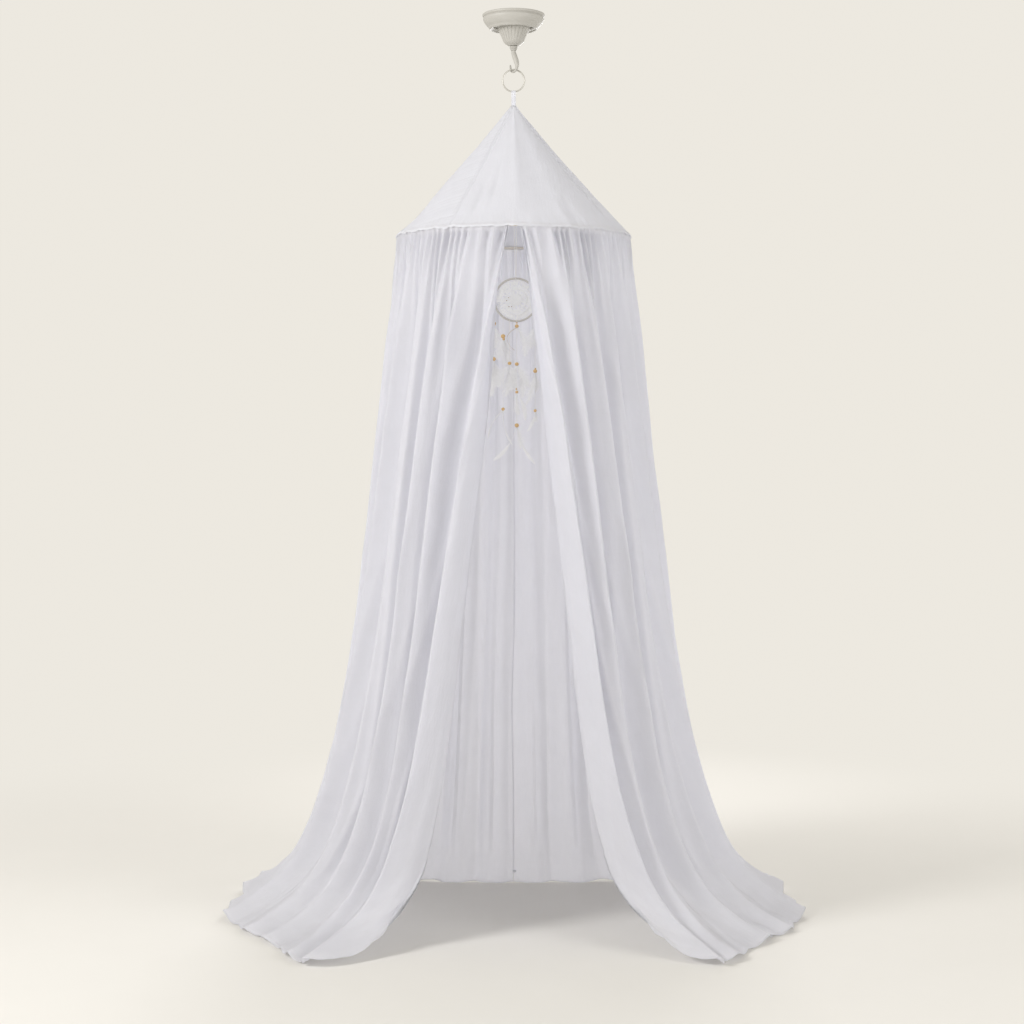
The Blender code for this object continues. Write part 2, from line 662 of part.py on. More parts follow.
def dream_beads():
    """Round wooden beads threaded on the strings."""
    for number in range(len(BEADS)):
        x, z, radius = bead_place(number)
        flat = math.sqrt(radius ** 2 - BEAD_BORE ** 2)
        turns = np.linspace(math.acos(flat / radius), math.pi - math.acos(flat / radius), 5)
        outer = [(radius * math.sin(a), radius * math.cos(a)) for a in turns]
        made = turned("dream_bead_%02d" % (number + 1), outer, 8, "wood", bored=True)
        made.location = (x, 0.0, z)


def feather(name, root, tip, bow, width):
    """A thin leaf with a quill, curved sideways, lozenge-shaped in section."""
    places = (0.0, 0.12, 0.30, 0.52, 0.74, 0.90, 1.0)
    spans = (0.10, 0.22, 0.85, 1.00, 0.86, 0.50, 0.06)
    root, tip = Vector(root), Vector(tip)
    run = (tip - root).normalized()
    side = Vector((-run.z, 0.0, run.x))
    sheet = bmesh.new()
    sections = []
    for place, span in zip(places, spans):
        middle = root.lerp(tip, place) + side * bow * 4 * place * (1 - place)
        half = max(width / 2 * span, 0.0004)
        thick = FEATHER_THICKNESS / 2 * (1.0 if 0 < place < 1 else 0.5)
        corners = [middle + side * half, middle + Vector((0.0, -thick, 0.0)),
                   middle - side * half, middle + Vector((0.0, thick, 0.0))]
        sections.append([sheet.verts.new(corner) for corner in corners])
    for first, second in zip(sections, sections[1:]):
        for i in range(4):
            j = (i + 1) % 4
            sheet.faces.new((first[i], first[j], second[j], second[i]))
    sheet.faces.new(sections[0])
    sheet.faces.new(reversed(sections[-1]))
    bmesh.ops.recalc_face_normals(sheet, faces=sheet.faces)
    mesh = bpy.data.meshes.new(name)
    sheet.to_mesh(mesh)
    sheet.free()
    add_object(name, mesh, "feather")


def dream_feathers():
    """Feathers whose quills are pushed up under the beads."""
    for i, (bead, right, down, bow, width, behind) in enumerate(FEATHERS):
        x, z, radius = bead_place(bead)
        under = math.sqrt(max(radius ** 2 - (abs(behind) - FEATHER_THICKNESS / 2) ** 2, 0.0)) + GAP
        root = (x + math.copysign(0.0005, right), behind, z - under)
        tip = (x + right, behind, z - down)
        feather("dream_feather_%02d" % (i + 1), root, tip, bow, width)


clear_scene()
PARTS = bpy.data.collections.new("hanging_canopy")
bpy.context.scene.collection.children.link(PARTS)
ceiling_plate()
plate_screws()
hook_collar()
hook()
ring()
hanging_loop()
roof_gores()
hoop()
curtains()
dream_string()
dream_ring()
dream_web()
dream_strands()
dream_beads()
dream_feathers()
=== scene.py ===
"""The looks of the hanging bed canopy: gathered cotton, a sewn roof, a cast fitting and a lace ornament.

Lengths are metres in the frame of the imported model: z = 0 is the ceiling, -Y faces the opening, +X is right.
"""

import json
import math

import bpy
import numpy as np
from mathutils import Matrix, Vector

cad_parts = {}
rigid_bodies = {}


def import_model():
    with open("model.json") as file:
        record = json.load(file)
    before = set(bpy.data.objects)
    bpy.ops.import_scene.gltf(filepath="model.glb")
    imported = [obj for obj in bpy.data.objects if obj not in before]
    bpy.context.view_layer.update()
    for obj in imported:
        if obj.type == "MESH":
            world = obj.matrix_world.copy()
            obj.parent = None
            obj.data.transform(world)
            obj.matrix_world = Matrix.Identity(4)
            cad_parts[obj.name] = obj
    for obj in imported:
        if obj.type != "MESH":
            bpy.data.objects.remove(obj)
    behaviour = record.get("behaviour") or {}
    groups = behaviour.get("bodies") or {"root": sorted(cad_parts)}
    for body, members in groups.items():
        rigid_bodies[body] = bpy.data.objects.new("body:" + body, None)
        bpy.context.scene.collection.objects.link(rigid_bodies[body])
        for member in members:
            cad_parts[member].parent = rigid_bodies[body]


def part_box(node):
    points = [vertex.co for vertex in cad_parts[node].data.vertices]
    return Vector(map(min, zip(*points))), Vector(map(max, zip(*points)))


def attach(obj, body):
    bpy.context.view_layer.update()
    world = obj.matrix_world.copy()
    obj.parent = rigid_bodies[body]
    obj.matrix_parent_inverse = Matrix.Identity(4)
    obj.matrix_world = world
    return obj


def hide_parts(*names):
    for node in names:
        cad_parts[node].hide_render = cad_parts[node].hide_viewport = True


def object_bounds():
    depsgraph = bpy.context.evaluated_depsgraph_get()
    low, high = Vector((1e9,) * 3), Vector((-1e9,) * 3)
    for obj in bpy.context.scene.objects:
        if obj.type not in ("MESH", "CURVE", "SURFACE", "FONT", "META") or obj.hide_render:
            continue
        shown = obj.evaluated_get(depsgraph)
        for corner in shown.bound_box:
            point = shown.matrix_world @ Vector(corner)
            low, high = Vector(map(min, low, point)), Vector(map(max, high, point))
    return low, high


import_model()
CAD_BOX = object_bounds()

# Camera and light
FLOOR_Z = CAD_BOX[0][2]
EYE_HEIGHT = 1.27
EYE_DISTANCE = 4.913
EYE_X = -0.004
LENS_MM = 66.8
PITCH_DOWN = math.radians(2.44)
BACKDROP = (0.845, 0.812, 0.745)
FLOOR_COLOUR = (0.730, 0.715, 0.672)
# The share of the backdrop's brightness that lights the canopy from all around
AMBIENT = 0.72
# How far from its middle the floor begins and ends to fade into the backdrop, and half its width
FADE_FROM, FADE_TO = 1.1, 2.9
FLOOR_HALF = 30.0
# Each soft lamp: its place, its size, its power and its colour
LAMPS = {
    "key": ((-3.6, -2.6, 0.5), 1.5, 154.0, (0.99, 0.985, 1.0)),
    "fill": ((3.2, -2.8, -0.6), 2.5, 74.0, (0.97, 0.97, 1.0)),
    "back": ((0.6, 3.6, -0.4), 2.2, 74.0, (0.98, 0.97, 1.0)),
    "ornament_light": ((-1.6, -2.6, 0.3), 0.4, 31.0, (1.0, 0.99, 0.97)),
}

# Sizes that come from the frame
RING_LOW, RING_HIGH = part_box("ring")
RING_Z = (RING_LOW.z + RING_HIGH.z) / 2
RING_WIRE = (RING_HIGH.y - RING_LOW.y) / 2
RING_RADIUS = (RING_HIGH.z - RING_LOW.z) / 2 - RING_WIRE
HOOP_LOW, HOOP_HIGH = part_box("hoop")
HOOP_MIDDLE_Z = (HOOP_LOW.z + HOOP_HIGH.z) / 2
DREAM_LOW, DREAM_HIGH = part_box("dream_ring")
DREAM_X = (DREAM_LOW.x + DREAM_HIGH.x) / 2
DREAM_Z = (DREAM_LOW.z + DREAM_HIGH.z) / 2
DREAM = np.array((DREAM_X, 0.0, DREAM_Z))
DREAM_BODY = 0.0030
DREAM_OUTER = (DREAM_HIGH.x - DREAM_LOW.x) / 2
DREAM_MIDDLE = DREAM_OUTER - DREAM_BODY

# The canopy's cloth
APEX_Z = -0.2335
HOOP_Z = -0.567
LOOP_END_Z = -0.2480
GAP = 0.0003
ROOF_HEM_RADIUS = 0.3002
ROOF_HOLE_RADIUS = 0.0058
ROOF_SLANT = 0.447
ROOF_SAG = 0.0050
ROOF_SEAM_TURN = -32.0
ROOF_THICK = 0.0008
CURTAIN_TOP_RADIUS = 0.2992
CLOTH_THICK = 0.0007
PANEL_WIDTH = 1.85
PANEL_LENGTH = 1.93

# Where each curtain's cloth hangs, from the centre back (share 0) to its front edge (share 1), on the right.
# top: degrees round the hoop from the back. foot: where the cloth meets the floor. hem: where it ends there.
# slope: share of the outward travel made evenly on the way down. late: how late the rest of it comes.
# spread: extra early travel just below the hoop.
STATION_COLUMNS = ("share", "top", "foot_x", "foot_y", "hem_x", "hem_y", "slope", "late", "spread")
RIGHT_STATIONS = (
    (0.00, 0.0, 0.000, 0.355, 0.000, 0.378, 0.86, 8.0, 0.00),
    (0.17, 30.0, 0.240, 0.368, 0.252, 0.392, 0.80, 8.0, 0.00),
    (0.33, 59.0, 0.465, 0.385, 0.555, 0.455, 0.62, 6.5, 0.00),
    (0.50, 89.0, 0.624, 0.290, 0.724, 0.360, 0.57, 6.0, 0.00),
    (0.58, 103.0, 0.648, 0.165, 0.732, 0.205, 0.57, 6.0, 0.00),
    (0.67, 119.0, 0.655, 0.030, 0.750, 0.035, 0.57, 6.0, 0.05),
    (0.75, 133.0, 0.600, -0.090, 0.705, -0.125, 0.60, 6.5, 0.10),
    (0.83, 147.0, 0.515, -0.195, 0.622, -0.242, 0.63, 7.0, 0.15),
    (0.92, 162.5, 0.420, -0.290, 0.510, -0.445, 0.68, 7.5, 0.25),
    (1.00, 177.0, 0.343, -0.360, 0.430, -0.490, 0.72, 8.0, 0.30),
)
LEFT_STATIONS = RIGHT_STATIONS[:6] + (
    (0.75, 133.0, 0.595, -0.090, 0.692, -0.125, 0.60, 6.5, 0.10),
    (0.83, 148.0, 0.505, -0.185, 0.608, -0.247, 0.64, 7.0, 0.20),
    (0.92, 163.5, 0.400, -0.280, 0.502, -0.455, 0.70, 7.5, 0.20),
    (1.00, 178.0, 0.310, -0.335, 0.404, -0.505, 0.80, 7.5, 0.10),
)
# The hem's front corner is round: the share of the width that it takes, and how far up the front edge it goes
CORNER_WIDTH = 0.13
CORNER_RISE = 0.150
# The size of the bend where the cloth meets the floor, and the share of its run there at which it lies flat
FLOOR_BEND = 0.110
FLAT_FROM = 0.75
# Below this height the cloth counts more and more as lying on the floor, and wholly below the second one
LIES_BELOW, LIES_FLAT = 0.22, 0.03
# Points on each hanging line, and how many of them the wide curve at its foot takes in each way
LINE_POINTS = 300
FOOT_REACH = 24

# The main folds of each curtain, from the centre back to the front edge.
# width: relative width. depth: relative depth. lean: how far its ridge leans towards the front. reach: its
# ridge's extra stand-out low down.
FOLD_COLUMNS = ("width", "depth", "lean", "reach")
RIGHT_FOLDS = (
    (1.10, 0.45, 0.0, 0.2),
    (1.20, 0.55, 0.2, 0.3),
    (0.95, 0.80, -0.2, 0.2),
    (1.15, 0.95, 0.3, 0.6),
    (0.85, 0.80, 0.1, 0.1),
    (1.10, 1.10, -0.3, 0.8),
    (0.90, 0.85, 0.2, 0.3),
    (1.20, 1.15, 0.4, 0.9),
    (0.80, 0.70, 0.0, 0.2),
    (1.10, 1.10, 0.3, 0.7),
    (0.85, 0.80, -0.2, 0.3),
    (1.05, 1.00, 0.4, 0.8),
    (0.80, 0.85, 0.2, 0.4),
    (0.50, 0.95, 0.1, 0.6),
)
LEFT_FOLDS = (
    (1.10, 0.45, 0.0, 0.2),
    (1.05, 0.60, -0.2, 0.3),
    (1.10, 0.75, 0.2, 0.4),
    (0.90, 0.90, 0.1, 0.2),
    (1.20, 1.05, 0.3, 0.7),
    (0.90, 0.80, -0.2, 0.2),
    (1.05, 1.05, 0.2, 0.6),
    (1.15, 1.15, 0.3, 0.9),
    (0.85, 0.75, -0.1, 0.2),
    (1.10, 1.10, 0.3, 0.8),
    (0.75, 0.70, 0.1, 0.3),
    (0.85, 0.85, 0.3, 0.4),
    (0.85, 1.00, -0.1, 0.6),
    (0.62, 1.15, 0.2, 0.9),
)
FOLD_DEPTH = 0.0205
FLOOR_FOLD_DEPTH = 0.012
# In shares of a fold's depth: how far the folds lie inside the hoop, how far their ridges lean to the back,
# and how far each fold's sides lean by its own lean
FOLD_INSET = 0.62
FOLD_LEAN = 0.45
FOLD_TWIST = 0.35
# The free front edge's hem turns in by this much
TURNED_IN = 0.010
# The cloth's finer relief: gathers to a panel, and how high the gathers and the other small forms stand
GATHERS = 50
GATHER_HEIGHT = 0.0105
SUB_FOLD_HEIGHT = 0.0050
CRINKLE_HEIGHT = 0.0012
CRUMPLE_HEIGHT = 0.0022
# The hems: width, thickness, pucker and roll, and how far the bottom edge's lobes run out and rise
HEM_WIDTH = 0.008
HEM_RAISE = 0.0006
HEM_PUCKER = 0.0003
HEM_ROLL = 0.0010
HEM_LOBE = 0.016
HEM_LIFT = 0.009
# How far the ridge next to the front edge leans towards that edge, by its share of the way down
RIGHT_SWEEP = ((0.0, 0.030), (0.16, 0.018), (0.30, 0.009), (0.45, 0.0), (0.72, -0.012), (0.85, -0.034),
               (1.0, -0.040))
LEFT_SWEEP = ((0.0, 0.032), (0.08, 0.034), (0.16, 0.030), (0.30, 0.018), (0.45, 0.004), (0.72, -0.012),
              (0.85, -0.034), (1.0, -0.040))
# How far the free front edge is drawn back behind that ridge, by its share of the way down (below 0: forward)
RIGHT_EDGE_BACK = ((0.0, 0.0), (0.16, 0.0), (0.25, -0.008), (0.33, -0.013), (0.55, -0.010), (0.66, 0.0),
                   (1.0, 0.0))
LEFT_EDGE_BACK = ((0.0, 0.000), (0.02, 0.003), (0.05, 0.012), (0.09, 0.018), (0.13, 0.016), (0.17, 0.007),
                  (0.25, -0.008), (0.33, -0.014), (0.45, -0.011), (0.60, -0.010), (0.70, -0.002), (1.0, 0.0))
# Each curtain's tables, its side of the canopy and the seed of its noise
CURTAINS = {
    "curtain_right": (RIGHT_STATIONS, RIGHT_FOLDS, RIGHT_SWEEP, RIGHT_EDGE_BACK, 1.0, 20),
    "curtain_left": (LEFT_STATIONS, LEFT_FOLDS, LEFT_SWEEP, LEFT_EDGE_BACK, -1.0, 50),
}
BACK_SEAM_SEED = 90


# Helpers for numbers and meshes

def smoothstep(low, high, value):
    """0 below low, 1 above high and a smooth rise between them."""
    part = np.clip((value - low) / (high - low), 0.0, 1.0)
    return part * part * (3 - 2 * part)


def noise(x, y, seed):
    """Smooth random hills between -1 and 1, one lattice cell to each unit of x and y."""
    lattice = np.random.default_rng(seed).uniform(-1.0, 1.0, (64, 64))
    left, low = np.floor(x).astype(int), np.floor(y).astype(int)
    u, v = x - left, y - low
    u, v = u * u * (3 - 2 * u), v * v * (3 - 2 * v)
    a, b = left % 64, low % 64
    c, d = (left + 1) % 64, (low + 1) % 64
    near = lattice[a, b] * (1 - u) + lattice[c, b] * u
    far = lattice[a, d] * (1 - u) + lattice[c, d] * u
    return near * (1 - v) + far * v


def noise_line(x, lane, seed):
    """The noise along one line of its lattice."""
    return noise(x, 0.0 * x + lane, seed)


def noise_pair(x, y, coarse, fine, seed):
    """Noise with half as much finer noise on it; coarse and fine are lattice cells to a metre each way."""
    return noise(x * coarse[0], y * coarse[1], seed) + 0.5 * noise(x * fine[0], y * fine[1], seed + 1)


def crest(phase, soft, sharp):
    """Crested ridges, 1 at each whole phase, with rounder valleys between them, down to -1."""
    return 1 - 2 * (np.sin(np.pi * phase) ** 2 + soft) ** sharp


def catmull_rom(knots, values, at):
    """Values on a smooth curve through a table's rows, at the given places along it."""
    at = np.clip(at, knots[0], knots[-1])
    slopes = np.gradient(values, knots, axis=0)
    low = np.clip(np.searchsorted(knots, at, side="right") - 1, 0, len(knots) - 2)
    step = (knots[low + 1] - knots[low])[:, None]
    part = (at - knots[low])[:, None] / step
    start, end = values[low], values[low + 1]
    cube = part ** 3
    square = part ** 2
    return ((2 * cube - 3 * square + 1) * start + (cube - 2 * square + part) * step * slopes[low]
            + (3 * square - 2 * cube) * end + (cube - square) * step * slopes[low + 1])


def lengths(path):
    """The distance along a path of each of its points."""
    return np.concatenate(([0.0], np.cumsum(np.linalg.norm(np.diff(path, axis=0), axis=1))))


def points_at(path, at):
    """The points at the given distances along a path."""
    run = lengths(path)
    return np.stack([np.interp(at, run, column) for column in path.T], axis=1)


def evenly(path, count):
    """A path's points moved to even steps along it."""
    return points_at(path, np.linspace(0.0, lengths(path)[-1], count))


def smooth_path(points, count):
    """A smooth curve through the given points."""
    given = np.array(points, float)
    knots = np.arange(len(given), dtype=float)
    return catmull_rom(knots, given, np.linspace(0.0, knots[-1], count))


def mesh_object(name, points, faces, finish, smooth=True, uv=None):
    mesh = bpy.data.meshes.new(name)
    mesh.from_pydata([tuple(point) for point in points], [], [tuple(face) for face in faces])
    mesh.validate()
    if uv is not None:
        layer = mesh.uv_layers.new(name="cloth")
        corners = np.zeros(len(mesh.loops), dtype=np.int32)
        mesh.loops.foreach_get("vertex_index", corners)
        layer.data.foreach_set("uv", np.asarray(uv, float)[corners].ravel())
    made = bpy.data.objects.new(name, mesh)
    bpy.context.scene.collection.objects.link(made)
    mesh.materials.append(finish)
    if smooth:
        mesh.shade_smooth()
    return made


def grid_faces(rows, columns, closed=False):
    """Quads over a grid of points; closed joins the last column to the first."""
    r, c = np.meshgrid(np.arange(rows - 1), np.arange(columns if closed else columns - 1), indexing="ij")
    right = (c + 1) % columns
    return np.stack([r * columns + c, (r + 1) * columns + c, (r + 1) * columns + right, r * columns + right],
                    axis=-1).reshape(-1, 4)


def sheet_object(name, grid, thickness, finish, uv, flip=False):
    """A sheet of cloth of real thickness through a grid of points."""
    rows, columns, _ = grid.shape
    faces = grid_faces(rows, columns)
    if flip:
        faces = faces[:, ::-1]
    made = mesh_object(name, grid.reshape(-1, 3), faces, finish, uv=uv.reshape(-1, 2))
    solid = made.modifiers.new("thickness", "SOLIDIFY")
    solid.thickness = thickness
    solid.offset = 1.0
    apply_modifiers(made)
    return made


def apply_modifiers(made):
    """Puts what the modifiers make into the mesh itself."""
    bpy.context.view_layer.update()
    depsgraph = bpy.context.evaluated_depsgraph_get()
    mesh = bpy.data.meshes.new_from_object(made.evaluated_get(depsgraph))
    made.modifiers.clear()
    made.data = mesh


def sweep(path, radii, sides):
    """Points and quads of a tube with closed ends along a path, each point with its own radius."""
    path = np.asarray(path, float)
    radii = np.broadcast_to(np.asarray(radii, float), (len(path),))
    along = np.gradient(path, axis=0)
    along /= np.linalg.norm(along, axis=1, keepdims=True) + 1e-12
    side = np.zeros_like(path)
    seed = np.array([0.0, 1.0, 0.0]) if abs(along[0, 1]) < 0.9 else np.array([1.0, 0.0, 0.0])
    last = np.cross(along[0], seed)
    for i, direction in enumerate(along):
        last = last - direction * np.dot(last, direction)
        last /= np.linalg.norm(last)
        side[i] = last
    up = np.cross(along, side)
    angles = np.linspace(0.0, math.tau, sides, endpoint=False)
    ring = side[:, None] * np.cos(angles)[:, None] + up[:, None] * np.sin(angles)[:, None]
    points = (path[:, None] + ring * radii[:, None, None]).reshape(-1, 3)
    faces = [list(face) for face in grid_faces(len(path), sides, True)[:, ::-1]]
    faces.append(list(range(sides)))
    faces.append([(len(path) - 1) * sides + i for i in reversed(range(sides))])
    return points, faces


def moved(shapes, place):
    """Pairs of points and faces, moved to a place."""
    return [(points + np.array(place), faces) for points, faces in shapes]


def joined(name, shapes, finish):
    """One object from many pairs of points and faces."""
    points, faces, start = [], [], 0
    for some_points, some_faces in shapes:
        points.append(np.asarray(some_points, float))
        faces += [[start + corner for corner in face] for face in some_faces]
        start += len(some_points)
    return mesh_object(name, np.concatenate(points), faces, finish)


def turned(profile, steps):
    """Points and quads of a round shape about Z; the profile runs from the top down its outer side."""
    profile = np.asarray(profile, float)
    angles = np.linspace(0.0, math.tau, steps, endpoint=False)
    points = np.stack([profile[:, :1] * np.cos(angles), profile[:, :1] * np.sin(angles),
                       np.broadcast_to(profile[:, 1:], (len(profile), steps))], axis=-1).reshape(-1, 3)
    return points, grid_faces(len(profile), steps, True)


def dressed(made, slot, *nodes):
    """Lets a piece ride with the part, in place of the nodes that it stands for."""
    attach(made, "root")
    if nodes:
        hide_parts(*nodes)
    return made


# Materials

class Nodes:
    """Short calls for a material's nodes."""

    def __init__(self, name):
        self.material = bpy.data.materials.new(name)
        self.material.use_nodes = True
        self.tree = self.material.node_tree
        self.shader = self.tree.nodes["Principled BSDF"]
        self.output = self.tree.nodes["Material Output"]

    def add(self, kind, inputs=(), **settings):
        node = self.tree.nodes.new(kind)
        for key, value in settings.items():
            setattr(node, key, value)
        for key, value in dict(inputs).items():
            if isinstance(value, bpy.types.NodeSocket):
                self.tree.links.new(value, node.inputs[key])
            else:
                node.inputs[key].default_value = value
        return node

    def link(self, socket, name):
        self.tree.links.new(socket, self.shader.inputs[name])

    def set(self, **values):
        for key, value in values.items():
            self.shader.inputs[key.replace("_", " ")].default_value = value

    def blend(self, other, factor):
        """Makes the surface a mix of its own shader and another one."""
        mix = self.add("ShaderNodeMixShader", {0: factor, 1: self.shader.outputs[0], 2: other.outputs[0]})
        self.tree.links.new(mix.outputs[0], self.output.inputs["Surface"])

    def place(self, scale=(1.0, 1.0, 1.0), source="Object"):
        """Coordinates in metres, scaled: those of the object, or of the flat cloth."""
        if source == "Object":
            start = self.add("ShaderNodeTexCoord").outputs["Object"]
        else:
            start = self.add("ShaderNodeUVMap", uv_map=source).outputs["UV"]
        return self.add("ShaderNodeMapping", {"Vector": start, "Scale": scale}).outputs["Vector"]

    def noise(self, place, scale, detail=3.0, rough=0.55):
        return self.add("ShaderNodeTexNoise", {"Vector": place, "Scale": scale, "Detail": detail,
                                               "Roughness": rough}).outputs["Fac"]

    def math(self, operation, a, b=0.0, c=0.0):
        return self.add("ShaderNodeMath", {0: a, 1: b, 2: c}, operation=operation).outputs[0]

    def ramp(self, factor, dark, light, low=0.3, high=0.7):
        node = self.add("ShaderNodeValToRGB", {"Fac": factor})
        node.color_ramp.elements[0].position = low
        node.color_ramp.elements[0].color = (*dark, 1.0)
        node.color_ramp.elements[1].position = high
        node.color_ramp.elements[1].color = (*light, 1.0)
        return node.outputs["Color"]

    def bump(self, height, strength, distance, below=None):
        inputs = {"Height": height, "Strength": strength, "Distance": distance}
        if below is not None:
            inputs["Normal"] = below
        return self.add("ShaderNodeBump", inputs).outputs["Normal"]


def cotton(name, light, dark, see_through, crinkle):
    """Plain-woven cotton: threads, slubs and soft crinkles, with light coming through."""
    n = Nodes(name)
    cross = n.add("ShaderNodeSeparateXYZ", {"Vector": n.place((7000.0, 7000.0, 1.0), "cloth")}).outputs
    weave = n.math("MULTIPLY", n.math("SINE", cross["X"]), n.math("SINE", cross["Y"]))
    slub_down = n.noise(n.place((900.0, 25.0, 1.0), "cloth"), 1.0, 2.0)
    slub_across = n.noise(n.place((25.0, 900.0, 1.0), "cloth"), 1.0, 2.0)
    slubs = n.math("ADD", slub_down, slub_across)
    soft = n.noise(n.place(source="cloth"), 14.0, 5.0, 0.6)
    creases = n.noise(n.place((38.0, 11.0, 1.0), "cloth"), 1.0, 6.0, 0.62)
    tone = n.math("MULTIPLY_ADD", slubs, 0.35, n.math("MULTIPLY", soft, 0.45))
    colour = n.ramp(tone, dark, light, 0.35, 0.8)
    normal = n.bump(creases, crinkle, 0.004, n.bump(slubs, 0.25, 0.0003, n.bump(weave, 0.25, 0.0001)))
    n.link(colour, "Base Color")
    n.link(normal, "Normal")
    n.set(Roughness=0.88, Sheen_Weight=0.25, Sheen_Roughness=0.5, Specular_IOR_Level=0.25)
    n.blend(n.add("ShaderNodeBsdfTranslucent", {"Color": colour, "Normal": normal}), see_through)
    return n.material


def painted(name, light, dark, rough, metal=0.0):
    """Cream paint on a casting: faint mottling, painted shade in its hollows and a soft orange-peel bump."""
    n = Nodes(name)
    place = n.place()
    mottle = n.noise(place, 90.0, 4.0)
    fine = n.noise(place, 900.0, 3.0)
    # Painted shade: ambient occlusion darkens the base colour in hollows and corners
    hollow_shade = n.add("ShaderNodeAmbientOcclusion", {"Distance": 0.012}, samples=4)
    shade = n.math("MULTIPLY_ADD", mottle, 0.25, n.math("MULTIPLY", hollow_shade.outputs["AO"], 0.8))
    n.link(n.ramp(shade, dark, light, 0.25, 0.9), "Base Color")
    n.link(n.math("MULTIPLY_ADD", mottle, 0.15, rough), "Roughness")
    n.link(n.bump(fine, 0.2, 0.0004, n.bump(mottle, 0.15, 0.001)), "Normal")
    n.set(Metallic=metal, Specular_IOR_Level=0.45)
    return n.material


def fibre(name, light, dark, grain):
    """Twisted cotton or lace thread."""
    n = Nodes(name)
    fuzz = n.noise(n.place(), grain, 4.0, 0.65)
    n.link(n.ramp(fuzz, dark, light), "Base Color")
    n.link(n.bump(fuzz, 0.4, 0.0004), "Normal")
    n.set(Roughness=0.85, Sheen_Weight=0.3, Specular_IOR_Level=0.25)
    return n.material


def wood(name, light, dark):
    """Turned beads of golden wood with a fine grain."""
    n = Nodes(name)
    rings = n.add("ShaderNodeTexWave", {"Vector": n.place((500.0, 500.0, 120.0)), "Scale": 0.8,
                                        "Distortion": 3.0, "Detail": 3.0, "Detail Scale": 1.5}).outputs["Fac"]
    pores = n.noise(n.place((2500.0, 2500.0, 400.0)), 1.0, 3.0)
    grain = n.math("MULTIPLY_ADD", rings, 0.7, n.math("MULTIPLY", pores, 0.3))
    n.link(n.ramp(grain, dark, light, 0.1, 0.9), "Base Color")
    n.link(n.bump(pores, 0.2, 0.0003), "Normal")
    n.set(Roughness=0.42, Specular_IOR_Level=0.5)
    return n.material


def plumage(name, light, dark):
    """White feather, silky and thin enough to glow."""
    n = Nodes(name)
    colour = n.ramp(n.noise(n.place(), 160.0, 4.0), dark, light)
    barbs = n.noise(n.place((1500.0, 300.0, 1500.0)), 1.0, 2.0)
    n.link(colour, "Base Color")
    n.link(n.bump(barbs, 0.3, 0.0003), "Normal")
    n.set(Roughness=0.6, Sheen_Weight=0.4, Specular_IOR_Level=0.3)
    n.blend(n.add("ShaderNodeBsdfTranslucent", {"Color": colour}), 0.30)
    return n.material


# Camera, floor and light

def camera():
    """The photograph's camera."""
    eye = bpy.data.cameras.new("camera")
    eye.lens = LENS_MM
    eye.sensor_width = 36.0
    holder = bpy.data.objects.new("camera", eye)
    holder.location = (EYE_X, -EYE_DISTANCE, FLOOR_Z + EYE_HEIGHT)
    holder.rotation_euler = (math.pi / 2 - PITCH_DOWN, 0.0, 0.0)
    bpy.context.scene.collection.objects.link(holder)
    bpy.context.scene.camera = holder
    bpy.context.scene.view_settings.view_transform = "Standard"


def floor():
    """A pale floor that fades into the backdrop's colour away from the canopy."""
    n = Nodes("floor")
    place = n.add("ShaderNodeTexCoord").outputs["Object"]
    darker = tuple(channel * 0.985 for channel in FLOOR_COLOUR)
    n.link(n.ramp(n.noise(place, 3.0, 4.0), darker, FLOOR_COLOUR), "Base Color")
    n.link(n.bump(n.noise(place, 220.0, 3.0), 0.05, 0.001), "Normal")
    n.set(Roughness=0.95, Specular_IOR_Level=0.1)
    away = n.add("ShaderNodeVectorMath", {0: place}, operation="LENGTH").outputs["Value"]
    fade = n.add("ShaderNodeMapRange", {"Value": away, "From Min": FADE_FROM, "From Max": FADE_TO},
                 interpolation_type="SMOOTHSTEP").outputs["Result"]
    n.blend(n.add("ShaderNodeEmission", {"Color": (*BACKDROP, 1.0), "Strength": 1.0}), fade)
    corners = [(FLOOR_HALF * x, FLOOR_HALF * y, 0.0) for x, y in ((-1, -1), (1, -1), (1, 1), (-1, 1))]
    made = mesh_object("floor", corners, [(0, 1, 2, 3)], n.material, False)
    made.location = (0.0, 0.0, FLOOR_Z - 0.0005)


def area_light(name, aim):
    """A round soft lamp from the table, aimed at a place."""
    place, size, power, colour = LAMPS[name]
    lamp = bpy.data.lights.new(name, "AREA")
    lamp.shape = "DISK"
    lamp.size = size
    lamp.energy = power
    lamp.color = colour
    holder = bpy.data.objects.new(name, lamp)
    holder.location = place
    holder.rotation_euler = (Vector(aim) - Vector(place)).to_track_quat("-Z", "Y").to_euler()
    bpy.context.scene.collection.objects.link(holder)
    return holder


def flagged_light(pieces):
    """A soft light from the front that falls on the hanging ornament alone."""
    lit = bpy.data.collections.new("ornament_lit")
    for piece in pieces:
        lit.objects.link(piece)
    lamp = area_light("ornament_light", (DREAM_X, 0.0, DREAM_Z - 0.15))
    lamp.light_linking.receiver_collection = lit
    lamp.light_linking.blocker_collection = lit


